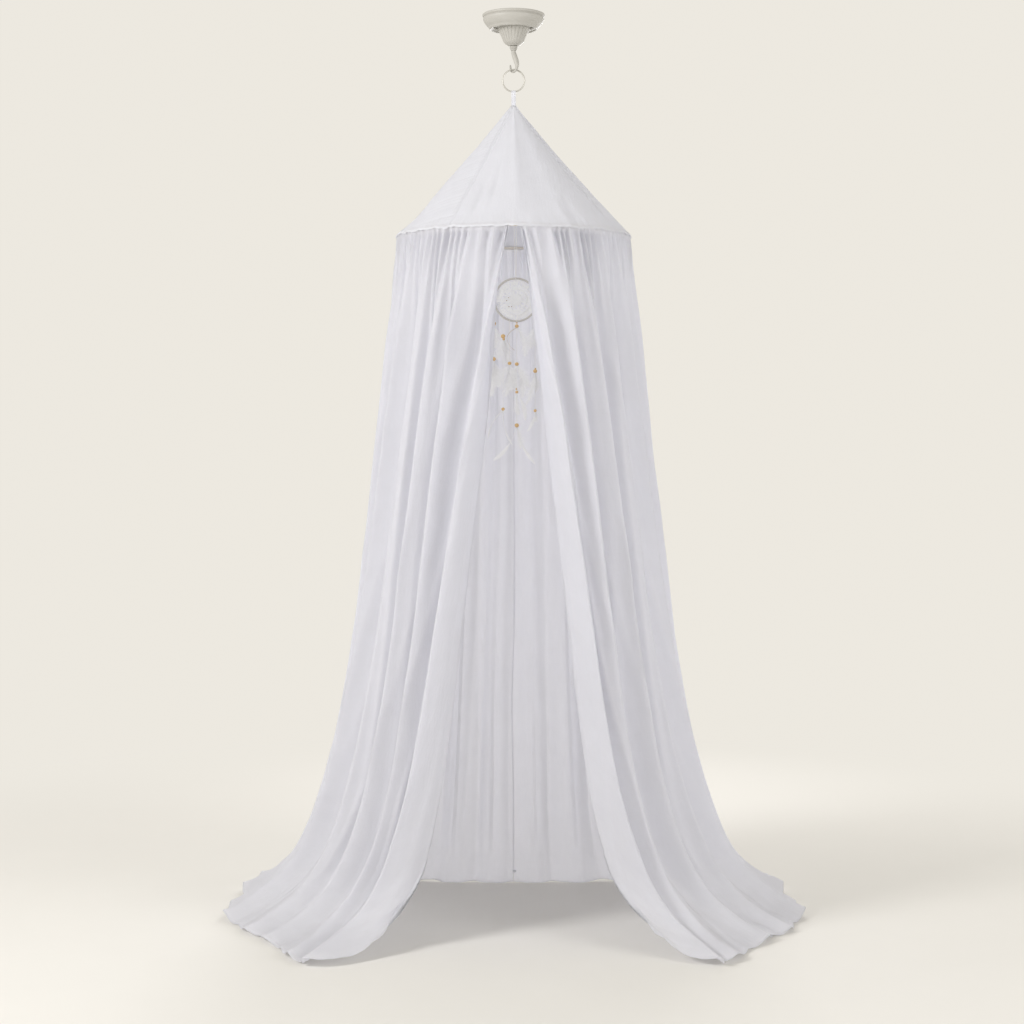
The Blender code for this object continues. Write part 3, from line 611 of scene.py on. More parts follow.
def lights():
    """Three large lamps, and a world that the camera sees brighter than it lights the canopy."""
    world = bpy.data.worlds.new("studio")
    world.use_nodes = True
    tree = world.node_tree
    ground = tree.nodes["Background"]
    ground.inputs["Color"].default_value = (*BACKDROP, 1.0)
    ground.inputs["Strength"].default_value = AMBIENT
    seen = tree.nodes.new("ShaderNodeBackground")
    seen.inputs["Color"].default_value = (*BACKDROP, 1.0)
    mix = tree.nodes.new("ShaderNodeMixShader")
    tree.links.new(tree.nodes.new("ShaderNodeLightPath").outputs["Is Camera Ray"], mix.inputs["Fac"])
    tree.links.new(ground.outputs[0], mix.inputs[1])
    tree.links.new(seen.outputs[0], mix.inputs[2])
    tree.links.new(mix.outputs[0], tree.nodes["World Output"].inputs["Surface"])
    bpy.context.scene.world = world
    for name in ("key", "fill", "back"):
        area_light(name, (0.0, 0.0, FLOOR_Z / 2))


# The curtains

def station_values(stations, shares):
    """The station table's columns at the given shares of the width, by name."""
    table = np.array(stations)
    values = catmull_rom(table[:, 0], table[:, 1:], shares)
    return dict(zip(STATION_COLUMNS[1:], values.T))


def hanging_lines(at):
    """Each line of the cloth without folds: from the hoop down, out and along the floor."""
    top = np.radians(at["top"])
    start = np.stack([np.sin(top), np.cos(top)], axis=1) * CURTAIN_TOP_RADIUS
    foot = np.stack([at["foot_x"], at["foot_y"]], axis=1)
    hem = np.stack([at["hem_x"], at["hem_y"]], axis=1)
    hang = np.linspace(0.0, 1.0, 160)[:, None]
    lie = np.linspace(0.0, 1.0, 40)[1:, None]
    slope = at["slope"]
    travel = slope * hang + (1 - slope) * hang ** at["late"] + at["spread"] * hang * (1 - hang) ** 3
    plan = np.concatenate([start + (foot - start) * travel[:, :, None],
                           foot + (hem - foot) * lie[:, :, None]])
    top_height = HOOP_Z - GAP - FLOOR_Z
    floor_run = np.linalg.norm(hem - foot, axis=1)
    drop = np.concatenate([top_height * (1 - hang) * np.ones_like(travel), -lie * floor_run])
    soft = 0.5 * (drop + np.sqrt(drop ** 2 + FLOOR_BEND ** 2))
    soft -= 0.5 * (np.sqrt(top_height ** 2 + FLOOR_BEND ** 2) - top_height) * drop / top_height
    at_hem = 0.5 * (np.sqrt(floor_run ** 2 + FLOOR_BEND ** 2) - floor_run)
    height = soft - at_hem * np.clip(-drop / floor_run / FLAT_FROM, 0.0, 1.0) ** 2
    return np.concatenate([plan, height[:, :, None] + FLOOR_Z], axis=2)


def cloth_lines(stations, shares, rows):
    """The hanging lines, rounder at their feet, each with its points at the given shares of its length."""
    lines = hanging_lines(station_values(stations, shares))
    result = np.zeros((len(rows), len(shares), 3))
    kernel = np.exp(-0.5 * (np.arange(-FOOT_REACH, FOOT_REACH + 1) / (FOOT_REACH / 3)) ** 2)
    kernel /= kernel.sum()
    near_foot = smoothstep(0.60, 0.78, np.linspace(0.0, 1.0, LINE_POINTS))[:, None]
    for column, share in enumerate(shares):
        line = evenly(lines[:, column], LINE_POINTS)
        beyond = 2 * line[-1:] - line[-2:-2 - FOOT_REACH:-1]
        padded = np.concatenate([line[:1]] * FOOT_REACH + [line, beyond])
        rounder = np.stack([np.convolve(values, kernel, "valid") for values in padded.T], axis=1)
        line = line + (rounder - line) * near_foot
        corner = np.clip((share - 1 + CORNER_WIDTH) / CORNER_WIDTH, 0.0, 1.0)
        length = lengths(line)[-1] - CORNER_RISE * (1 - math.sqrt(1 - corner ** 2))
        result[:, column] = points_at(line, rows * length)
    return result


def fold_knots(folds):
    """Where across the cloth each ridge lies, and its number. The last fold is half a fold, turned in."""
    widths = np.array([row[0] for row in folds])
    edges = np.concatenate(([0.0], np.cumsum(widths) / widths.sum()))
    phases = np.arange(len(edges), dtype=float)
    phases[-1] -= 0.5
    return edges, phases


# Long soft creases on each curtain.
# from_share and to_share: where across the cloth it starts and ends. from_row and to_row: how far down.
CREASE_COLUMNS = ("from_share", "to_share", "from_row", "to_row", "width", "height")
CREASES = (
    (0.985, 0.930, 0.02, 0.55, 0.0040, 0.0045),
    (0.970, 0.865, 0.04, 0.80, 0.0045, 0.0040),
    (0.940, 0.900, 0.10, 0.95, 0.0040, 0.0050),
    (0.900, 0.800, 0.05, 0.90, 0.0050, 0.0040),
    (0.840, 0.770, 0.30, 0.98, 0.0045, 0.0055),
    (0.790, 0.690, 0.08, 0.85, 0.0050, 0.0040),
    (0.720, 0.650, 0.35, 0.96, 0.0050, 0.0055),
    (0.640, 0.600, 0.15, 0.75, 0.0045, 0.0040),
    (0.560, 0.545, 0.40, 0.97, 0.0050, 0.0050),
    (0.470, 0.500, 0.10, 0.80, 0.0050, 0.0040),
    (0.400, 0.420, 0.45, 0.95, 0.0050, 0.0050),
    (0.300, 0.330, 0.20, 0.90, 0.0050, 0.0035),
    (0.190, 0.210, 0.30, 0.97, 0.0055, 0.0030),
    (0.090, 0.080, 0.25, 0.85, 0.0055, 0.0025),
)


def crease_relief(shares, row, seed):
    """The height that the long creases add, each wandering a little on its way."""
    relief = np.zeros((len(row), len(shares)))
    for number, crease in enumerate(CREASES):
        at = dict(zip(CREASE_COLUMNS, crease))
        part = (row - at["from_row"]) / (at["to_row"] - at["from_row"])
        centre = at["from_share"] + (at["to_share"] - at["from_share"]) * np.clip(part, 0.0, 1.0)
        centre = centre + 0.004 * noise_line(row * 6.0 + number * 7.3, number, seed)
        near = np.exp(-((shares - centre) / at["width"]) ** 2)
        shown = smoothstep(0.0, 0.25, part) * (1 - smoothstep(0.7, 1.0, part))
        relief += at["height"] * near * shown
    return relief


def main_folds(folds, sweep_table, edge_back, shares, row, on_floor):
    """Each point's phase and depth in the main folds, and how far they move it outwards and sideways."""
    phase = np.interp(shares, *fold_knots(folds))
    number = np.clip(np.round(phase).astype(int), 0, len(folds) - 1)
    fold = dict(zip(FOLD_COLUMNS, np.array(folds)[number].T))
    depth = fold["depth"]
    ridge = crest(phase, 0.006, 0.62)
    opened = smoothstep(0.0, 0.16, row)
    settle = 1.0 + 0.25 * fold["reach"] * smoothstep(0.3, 0.85, row) + 0.12 * np.sin(5.0 * row + 2.1 * number)
    hang_depth = FOLD_DEPTH * depth * settle * opened
    move = hang_depth * (ridge - FOLD_INSET) * (1 - on_floor)
    move += FLOOR_FOLD_DEPTH * depth * (1 + ridge) * on_floor
    move -= TURNED_IN * smoothstep(0.985, 1.0, shares) * opened * (1 - on_floor)
    edge_fade = smoothstep(0.0, 0.04, shares)
    from_ridge = np.clip(phase - (len(folds) - 1), -1.0, 0.5)
    near_front = np.cos(np.pi * from_ridge * np.where(from_ridge < 0, 0.5, 1.0)) ** 2
    leaning = edge_fade * (1 - smoothstep(0.05, 0.35, from_ridge))
    twist = fold["lean"] * np.sin(math.tau * phase)
    slide = FOLD_DEPTH * FOLD_TWIST * twist * opened * (1 - 0.6 * on_floor) * edge_fade
    slide = slide - FOLD_LEAN * hang_depth * ridge * (1 - 0.3 * on_floor) * leaning
    slide = slide + near_front * np.interp(row, *np.array(sweep_table).T)
    slide = slide - smoothstep(0.0, 0.5, from_ridge) * np.interp(row, *np.array(edge_back).T)
    return phase, depth, move, slide


def fine_relief(phase, shares, row, on_floor, seed):
    """Gathers under the hoop, small folds, creases, crinkles and the crumpled cloth on the floor."""
    wide, long = shares * PANEL_WIDTH, row * PANEL_LENGTH
    gather_phase = shares * GATHERS + 0.35 * noise_line(shares * 31.0, 3.0, seed) + 0.25 * np.sin(9.0 * row)
    reach_down = 0.045 + 0.12 * (0.5 + 0.5 * noise_line(shares * 23.0, 9.0, seed + 1)) ** 3
    uneven = 0.85 + 0.35 * noise_line(shares * 41.0, 6.0, seed + 11)
    puff = smoothstep(0.0005, 0.010, row) * np.exp(-row / reach_down)
    fine = GATHER_HEIGHT * uneven * (crest(gather_phase, 0.01, 0.55) - 0.75) * puff
    wander = noise(row * 3.0 + 0.0 * phase, phase * 0.6, seed + 2)
    sub_fold = crest(2.35 * phase + 0.45 * wander + 0.3 * np.sin(4.0 * row), 0.02, 0.60) - 0.4
    sub_depth = SUB_FOLD_HEIGHT * (0.6 + 0.6 * noise(phase * 0.9, row * 3.5, seed + 3))
    fine += sub_depth * sub_fold * smoothstep(0.02, 0.20, row) * (1 - 0.5 * on_floor)
    fine += crease_relief(shares, row, seed + 4) * (1 - 0.4 * on_floor)
    crinkle = noise_pair(wide, long, (36.0, 7.0), (80.0, 18.0), seed + 5)
    fine += CRINKLE_HEIGHT * crinkle * smoothstep(0.01, 0.12, row) * (0.6 + 0.9 * row)
    crumple = noise_pair(wide, long, (22.0, 20.0), (47.0, 43.0), seed + 7)
    fine += CRUMPLE_HEIGHT * (0.7 + crumple) * on_floor
    return fine * smoothstep(0.0, 0.015, shares)


def within_hem(place, size):
    """1 in the hem at the end of a size, 0 before it."""
    return smoothstep(1 - HEM_WIDTH / size * 1.15, 1 - HEM_WIDTH / size, place)


def hem_relief(phase, depth, shares, row, seed):
    """How high the puckered hems stand, and how far the bottom edge's lobes run out."""
    wide, long = shares * PANEL_WIDTH, row * PANEL_LENGTH
    in_hem = np.maximum(within_hem(shares, PANEL_WIDTH) * np.ones_like(row), within_hem(row, PANEL_LENGTH))
    pucker = np.sin(long * 330.0) * (shares > 0.9) + np.sin(wide * 330.0) * (row > 0.9)
    lobe = (np.cos(np.pi * phase) ** 2 + 0.003) ** 0.3
    from_back = smoothstep(0.25, 0.50, shares)
    raised = in_hem * (HEM_RAISE + HEM_PUCKER * pucker)
    raised = raised + HEM_LIFT * depth * (1 - lobe) ** 2 * smoothstep(0.95, 1.0, row) * from_back
    run_out = HEM_LOBE * depth * (lobe - 0.7) + 0.0025 * noise_line(shares * 70.0, 5.0, seed + 10)
    return raised, run_out * smoothstep(0.90, 1.0, row) * from_back


def curtain_grid(stations, folds, sweep_table, edge_back, shares, rows, seed):
    """The cloth as it hangs, for the right side: main folds, gathers, creases, crinkles and hems."""
    base = cloth_lines(stations, shares, rows)
    down = np.gradient(base, axis=0)
    across = np.gradient(base, axis=1)
    across /= np.linalg.norm(across, axis=2, keepdims=True)
    outward = np.cross(across, down)
    outward /= np.linalg.norm(outward, axis=2, keepdims=True)
    outward[:, 0, 0] = 0.0
    down /= np.linalg.norm(down, axis=2, keepdims=True)
    row = rows[:, None]
    on_floor = 1 - smoothstep(LIES_FLAT, LIES_BELOW, base[:, :, 2] - FLOOR_Z)
    phase, depth, move, slide = main_folds(folds, sweep_table, edge_back, shares, row, on_floor)
    raised, run_out = hem_relief(phase, depth, shares, row, seed)
    move = move + fine_relief(phase, shares, row, on_floor, seed) + raised
    grid = base + outward * move[:, :, None] + across * slide[:, :, None] + down * run_out[:, :, None]
    grid[:, :, 2] = np.maximum(grid[:, :, 2], FLOOR_Z + 0.0002)
    grid[:, :, 0] = np.maximum(grid[:, :, 0], 0.0004)
    return grid


def curtain_columns(folds):
    """Places across the cloth: even within each fold, and closer at the hem of the front edge."""
    edges, _ = fold_knots(folds)
    places = np.interp(np.linspace(0, len(folds), len(folds) * 28 + 1), np.arange(len(edges)), edges)
    hem = HEM_WIDTH / PANEL_WIDTH
    near_edge = 1 - hem * np.array([2.2, 1.6, 1.2, 1.0, 0.66, 0.33, 0.0])
    return np.concatenate([places[places < near_edge[0] - 0.0005], near_edge])


def curtain_rows():
    """Places down the cloth: closer under the hoop, where it meets the floor and in the bottom hem."""
    hem = HEM_WIDTH / PANEL_LENGTH
    bands = ((0.0, 0.05, 14), (0.05, 0.20, 16), (0.20, 0.86, 44), (0.86, 1 - 2.5 * hem, 40))
    return np.concatenate([np.linspace(*band)[:-1] for band in bands]
                          + [1 - hem * np.array([2.5, 1.7, 1.2, 1.0, 0.6, 0.0])])


def curtains(cloth):
    """Both panels, each with its rolled hems; the seam that joins them goes with the right one."""
    rows = curtain_rows()
    wander = 0.0045 * noise_line(rows * 7.0, 3.0, BACK_SEAM_SEED + 1) * smoothstep(0.0, 0.1, rows)
    for name, (stations, folds, sweep_table, edge_back, side, seed) in CURTAINS.items():
        shares = curtain_columns(folds)
        grid = curtain_grid(stations, folds, sweep_table, edge_back, shares, rows, seed)
        grid[:, :, 0] *= side
        grid[:, :, 0] += wander[:, None] * np.exp(-shares / 0.03)
        u, v = np.meshgrid(shares * PANEL_WIDTH, rows * PANEL_LENGTH)
        piece = sheet_object(name + "_cloth", grid, CLOTH_THICK, cloth, np.stack([u, v], axis=-1), side > 0)
        dressed(piece, "curtain_cloth", name)
        extra = [hem_roll(name + "_front_hem", grid[:, -1], cloth, seed),
                 hem_roll(name + "_bottom_hem", grid[-1], cloth, seed + 1)]
        if side > 0:
            extra.append(back_seam(cloth, grid))


# The roof

# Dents and bulges: degrees round from the front, share of the way down, width in degrees, height, depth
ROOF_DENTS = (
    (-84.0, 0.85, 22.0, 0.14, 0.0060),
    (2.0, 0.55, 5.0, 0.45, -0.0035),
    (-17.0, 0.74, 2.2, 0.12, -0.0042),
    (-13.0, 0.62, 2.4, 0.16, 0.0036),
    (-22.0, 0.80, 1.8, 0.10, 0.0026),
    (26.0, 0.92, 2.2, 0.10, -0.0026),
    (33.0, 0.90, 2.4, 0.12, 0.0026),
    (-20.0, 0.70, 7.0, 0.22, 0.0045),
    (18.0, 0.62, 8.0, 0.30, 0.0030),
    (170.0, 0.60, 12.0, 0.35, 0.0045),
    (-150.0, 0.65, 9.0, 0.25, 0.0040),
)
ROOF_COLUMNS = 84
# The shares of a step straight out of the roof's cloth that go outward and up
ROOF_OUT, ROOF_UP = 0.747, 0.664
# Where the seam to the hoop shows, as a share of the way down, and the cloth's fall below it
ROOF_HEM_SEAM = 0.978
ROOF_SKIRT = 0.0046
# How far the seams' felled side stands up, the ridge on the seam, the groove beside it, and their pucker
FELLED, SEAM_RIDGE, SEAM_GROOVE, SEAM_PUCKER = 0.0004, 0.0009, 0.0012, 0.0003
# The distance from one small stitch to the next on the roof
STITCH_PITCH = 0.0034


def roof_dent(turn, down):
    """How far the dents take the roof in; they fade out at the apex and at the hem."""
    depth = 0.0
    for centre, share, wide, tall, deep in ROOF_DENTS:
        off = (turn - centre + 180.0) % 360.0 - 180.0
        depth = depth + deep * np.exp(-(off / wide) ** 2 - ((down - share) / tall) ** 2)
    return depth * np.minimum(1.0, 10.0 * down * (1.0 - down))


def gore_grid(number):
    """One gore's points and flat places, with a short skirt over the hoop; and its row at the hem seam."""
    part = (1 - np.cos(np.linspace(0.0, math.pi, ROOF_COLUMNS + 1))) / 2
    part = 0.5 * part + 0.5 * np.linspace(0.0, 1.0, ROOF_COLUMNS + 1)
    down = np.concatenate([np.linspace(0.0, 0.9, 60)[:-1], np.linspace(0.9, 1.0, 17)])[:, None]
    turn = ROOF_SEAM_TURN + 90.0 * (number + part)[None, :]
    angle = np.radians(turn)
    radius = ROOF_HOLE_RADIUS + (ROOF_HEM_RADIUS - ROOF_HOLE_RADIUS) * down
    length = down * ROOF_SLANT
    around = noise_line(angle * 16.5 + 30.0, 4.0, 74) + 0.5 * np.sin(angle * 97.0)
    pleats = np.abs(noise_line(angle * 31.0 + 30.0, 7.0, 75)) ** 0.6

    from_seam = np.minimum(part, 1 - part)[None, :] * radius * math.pi / 2
    seam = FELLED * (1 - smoothstep(0.005, 0.0075, from_seam)) * (part < 0.5)[None, :]
    seam = seam + SEAM_RIDGE * np.exp(-(from_seam / 0.0016) ** 2)
    seam = seam - SEAM_GROOVE * np.exp(-((from_seam - 0.0045) / 0.0018) ** 2)
    puckers = noise(length * 75.0, from_seam * 20.0 + number * 9.0, 71)
    seam = seam + SEAM_PUCKER * np.exp(-from_seam / 0.010) * puckers
    drape = 0.0013 * noise(angle * radius * 9.0 + 40.0, length * 6.0, 72)
    drape = drape + 0.0006 * noise(angle * radius * 26.0 + 40.0, length * 14.0, 73)
    drape = drape * smoothstep(0.0, 0.08, down) * (1 - smoothstep(0.93, 1.0, down))
    hem = (0.0007 * around - 0.0020 * pleats) * smoothstep(0.86, 0.985, down)
    hem = hem + 0.0012 * smoothstep(0.9, 1.0, down)
    hem = hem - 0.0007 * np.exp(-((down - ROOF_HEM_SEAM) / 0.004) ** 2) * (1 + 0.4 * np.sin(angle * 160.0))
    sag = ROOF_SAG * 4.0 * down * (1.0 - down) + roof_dent(turn, down)
    rise = seam + drape + hem + 0.0006 - sag

    flare = radius + rise * ROOF_OUT
    height = APEX_Z + (HOOP_Z - APEX_Z) * down + rise * ROOF_UP
    height = height + (0.0009 * around + 0.0012 * pleats) * smoothstep(0.95, 1.0, down)
    skirt = np.linspace(0.25, 1.0, 4)[:, None]
    edge = 0.0004 * np.sin(angle * 101.0) + 0.0003 * around
    flare = np.concatenate([flare, flare[-1:] + 0.0007 * skirt + edge * skirt])
    height = np.concatenate([height, height[-1:] - ROOF_SKIRT * skirt + 0.0005 * around * skirt])
    grid = np.stack([np.sin(angle) * flare, -np.cos(angle) * flare, height], axis=-1)
    wide = np.concatenate([angle * radius, angle * ROOF_HEM_RADIUS + 0 * skirt]) + 3.0 * number
    long = np.concatenate([length, ROOF_SLANT + ROOF_SKIRT * skirt]) + 0 * angle
    return grid, np.stack([wide, long], axis=-1), int(np.argmin(np.abs(down - ROOF_HEM_SEAM)))


def roof(cloth, thread):
    """Four gores with felled, slightly puckered seams and a gathered hem line."""
    for number in range(4):
        grid, uv, hem_row = gore_grid(number)
        gore = "roof_gore_%d" % (number + 1)
        made = sheet_object(gore + "_cloth", grid, ROOF_THICK, cloth, uv)
        dressed(made, "roof_cloth", gore)
        extra = [stitches("roof_%s_stitches_%d" % (line, number + 1), path, thread)
                 for line, path in (("hem", grid[hem_row]), ("seam", grid[4:, 9]))]


# The fitting on the ceiling

PLATE_DROP = 0.080
PLATE_RECESS_Z = -0.036
FLUTES = 24
FLUTE_DEPTH = 0.0017
# The plate's outline from the ceiling down its outer side: radius and height, in millimetres
PLATE_RIM = (
    (0, 0), (78, 0), (79.4, -0.6), (80, -2.2), (79.8, -4.2),
    (78.8, -6), (77.2, -7), (76.6, -7.9), (77.2, -9), (78, -10.4),
    (77.8, -13.6), (76.2, -18), (73.2, -23), (69.4, -27.6), (66, -31),
    (64, -32.6), (62.8, -35), (61.2, -37.2), (59.2, -38.4), (57.2, -38.4),
    (55.6, -37.4), (54.5, -36.2), (53, -36), (44, -36),
)
PLATE_BELL = (
    (43.6, -36.4), (42.8, -38), (41.2, -39.6), (38.8, -42), (36.2, -45.8),
    (34.2, -50), (32.2, -54), (30.4, -57.8), (29, -61.4), (27.6, -65),
    (26.2, -68.4),
)
PLATE_NECK = (
    (25.2, -70.4), (23, -73), (20, -75.4), (17.2, -77.2), (16, -78),
    (15, -78.4), (14.2, -79.6), (13.5, -80), (0, -80),
)
# The nut's outline below the plate, and the screw heads', which are crossed by two slots, in millimetres
NUT = (
    (0, 0), (9.2, 0), (10.1, -0.6), (10.5, -1.8), (10.2, -3), (9.4, -3.6),
    (9.2, -4), (9.8, -4.6), (10.1, -5.6), (9.8, -6.6), (8.8, -7.2),
    (8, -7.4), (7.8, -7.9), (8.2, -8.3), (7.8, -8.8), (8.2, -9.3),
    (7.8, -9.8), (8, -10.4), (7.4, -11), (0, -11),
)
SCREW = (
    (0, 0), (4, 0), (4.2, -0.4), (4.2, -1.2), (3.8, -2.6), (3.1, -3.8),
    (2.4, -4.5), (1.8, -4.8), (1.1, -5), (0, -5),
)
SCREW_X, SCREW_Y = 0.0470, -0.0120
SLOT_HALF, SLOT_REACH, SLOT_DEPTH = 0.00055, 0.0030, 0.0013


def ceiling_plate(paint):
    """The cast plate: stepped rim, dished underside and a bell with rounded flutes that start as arches."""
    steps = FLUTES * 12
    profile = np.array(PLATE_RIM + PLATE_BELL + PLATE_NECK) / 1000
    points, faces = turned(profile, steps)
    points = points.reshape(len(profile), steps, 3)
    lobes = np.abs(np.cos(np.arange(steps) / 12 * np.pi)) ** 0.6
    for i in range(len(PLATE_BELL)):
        level = points[len(PLATE_RIM) + i]
        radius = profile[len(PLATE_RIM) + i, 0]
        part = i / (len(PLATE_BELL) - 1)
        depth = FLUTE_DEPTH * (1.35 - 0.75 * part)
        level[:, :2] *= (1 + depth * (lobes - 0.75) / radius)[:, None]
        level[:, 2] -= 0.0016 * (1 - part) ** 6 * lobes
    made = mesh_object("plate_casting", points.reshape(-1, 3), faces, paint)
    dressed(made, "painted_metal", "ceiling_plate")
    for name, x in (("left", -SCREW_X), ("right", SCREW_X)):
        screw_head(name, (x, SCREW_Y, PLATE_RECESS_Z - GAP), paint)


def screw_head(name, place, paint):
    """A round screw head with a crossed recess."""
    points, faces = turned(np.array(SCREW) / 1000, 40)
    x, y, z = points.T
    slotted = (np.minimum(np.abs(x), np.abs(y)) < SLOT_HALF) & (np.hypot(x, y) < SLOT_REACH) & (z < -0.0035)
    points[:, 2] += SLOT_DEPTH * slotted
    made = mesh_object("screw_" + name, points + np.array(place), faces, paint)
    dressed(made, "painted_metal", "plate_screw_" + name)


def collar(paint):
    """The nut under the bell, turned with two rings and a short thread."""
    top = -PLATE_DROP - GAP
    points, faces = turned([(radius, top + height) for radius, height in np.array(NUT) / 1000], 64)
    dressed(mesh_object("nut", points, faces, paint), "painted_metal", "hook_collar")


# The hook's bar: distance along its plane, height above the seat of the ring, share of the bar's radius
HOOK_TURN = math.radians(-50.0)
HOOK_BAR = 0.0052
HOOK_SEAT_SHARE = 0.58
HOOK_POINTS = (
    (0.0000, 0.0537, 1.10),
    (0.0010, 0.0470, 1.20),
    (0.0050, 0.0370, 1.30),
    (0.0105, 0.0260, 1.25),
    (0.0135, 0.0160, 1.05),
    (0.0115, 0.0070, 0.80),
    (0.0065, 0.0018, 0.62),
    (0.0000, 0.0000, HOOK_SEAT_SHARE),
    (-0.0065, 0.0018, 0.56),
    (-0.0110, 0.0070, 0.52),
    (-0.0125, 0.0140, 0.46),
    (-0.0140, 0.0195, 0.40),
)


def hook(paint):
    """The cast hook: thick at its shoulder, thin at its seat and at its tip."""
    seat_z = RING_Z + RING_RADIUS - RING_WIRE - GAP - HOOK_BAR * HOOK_SEAT_SHARE
    path = smooth_path(HOOK_POINTS, 72)
    path[:10, 0] *= np.linspace(0.0, 1.0, 10) ** 2
    points = np.stack([math.cos(HOOK_TURN) * path[:, 0], math.sin(HOOK_TURN) * path[:, 0],
                       seat_z + path[:, 1]], axis=1)
    radii = HOOK_BAR * path[:, 2]
    radii[-3:] *= (0.9, 0.7, 0.35)
    dressed(joined("cast_hook", [sweep(points, radii, 20)], paint), "painted_metal", "hook")


def ring(metal):
    """The wire ring, with the small butt weld that such rings have beside the loop."""
    angles = np.linspace(0.0, math.tau, 161)
    path = np.stack([RING_RADIUS * np.sin(angles), 0 * angles, RING_Z + RING_RADIUS * np.cos(angles)], axis=1)
    radii = RING_WIRE * (1 - 0.07 * np.exp(-((angles - 2.6) / 0.02) ** 2))
    dressed(joined("wire_ring", [sweep(path, radii, 14)], metal), "ring_metal", "ring")


LOOP_HALF = 0.0056
LOOP_THICK = 0.0011


def hanging_loop(cloth, thread):
    """A narrow sewn band over the ring's lower wire, with two lines of stitches."""
    inner = RING_WIRE + GAP + LOOP_HALF ** 2 / (2 * RING_RADIUS)
    wire_z = RING_Z - RING_RADIUS
    over = [(inner * math.cos(a), wire_z + inner * math.sin(a)) for a in np.linspace(0.0, math.pi, 15)]
    down = [(0.0004, LOOP_END_Z), (0.0004, APEX_Z), (0.0010, wire_z - 0.018), (0.0026, wire_z - 0.010)]
    path = smooth_path(down + over + [(-y, z) for y, z in reversed(down)], 90)
    along = np.gradient(path, axis=0)
    along /= np.linalg.norm(along, axis=1, keepdims=True)
    out = np.stack([along[:, 1], -along[:, 0]], axis=1)
    narrow = 1 - 0.10 * smoothstep(wire_z - 0.020, wire_z - 0.060, path[:, 1])
    across = np.linspace(-1.0, 1.0, 15)
    grid = np.zeros((len(path), len(across), 3))
    for j, side in enumerate(across):
        grid[:, j, 0] = LOOP_HALF * side * narrow
        grid[:, j, 1:] = path + out * (0.00035 * (1 - side ** 2) + 0.0001)
    run = lengths(path)
    u, v = np.meshgrid(across * LOOP_HALF, run)
    band = sheet_object("loop_band", grid, LOOP_THICK, cloth, np.stack([u, v], axis=-1), True)
    dressed(band, "roof_cloth", "hanging_loop")
    raised = path + out * 0.0014
    shapes = []
    for side in (-0.0036, 0.0036):
        for place in np.arange(0.002, run[-1], 0.0032):
            y, z = [np.interp([place, place + 0.0009, place + 0.0020], run, raised[:, k]) for k in (0, 1)]
            shapes.append(sweep(np.stack([np.full(3, side), y, z], axis=1), (0.00005, 0.00014, 0.00005), 5))
    dressed(joined("loop_stitches", shapes, thread), "cotton_cord")


HOOP_SLEEVE = (0.0030, 0.0036, 0.0037, 0.0037, 0.0037, 0.0037, 0.0037, 0.0036, 0.0030)


def hoop(finish):
    """The stiff hoop inside the seam, its ends joined in a short sleeve at the back."""
    middle = (HOOP_HIGH.x - HOOP_LOW.x) / 2 - (HOOP_HIGH.z - HOOP_LOW.z) / 2
    shapes = []
    for turn, radii, sides in ((np.linspace(0.0, math.tau, 193), 0.0030, 10),
                               (np.linspace(-0.05, 0.05, 9), HOOP_SLEEVE, 14)):
        path = np.stack([middle * np.sin(turn), middle * np.cos(turn), 0 * turn + HOOP_MIDDLE_Z], axis=1)
        shapes.append(sweep(path, radii, sides))
    dressed(joined("spreader_hoop", shapes, finish), "hoop", "hoop")


# The ornament

# The tables down to the lace's beads are in millimetres.
# Its strands: distance right of its centre, and how far below its centre the string ends
STRANDS = {
    "a": (-56.9, 158),
    "b": (-33.1, 286),
    "c": (-16.3, 169),
    "d": (2.3, 329),
    "e": (49.7, 291),
}
# The wooden beads: strand, how far below the ornament's centre, and radius
BEADS = (
    ("a", 61, 5.8),
    ("a", 152, 5.4),
    ("b", 93.5, 5.8),
    ("b", 281, 4.5),
    ("c", 163, 4.7),
    ("d", 67.5, 5),
    ("d", 165, 5),
    ("d", 237, 4),
    ("d", 323, 5.6),
    ("e", 65, 5),
    ("e", 183, 5.2),
    ("e", 285, 4),
)
# Small second beads: strand, how far below the centre, radius, distance to the right
SMALL_BEADS = (
    ("b", 101, 3.4, 1.8),
    ("d", 229, 2.6, -1.2),
    ("d", 59, 2.2, 0),
    ("e", 177, 2.2, 0.6),
)
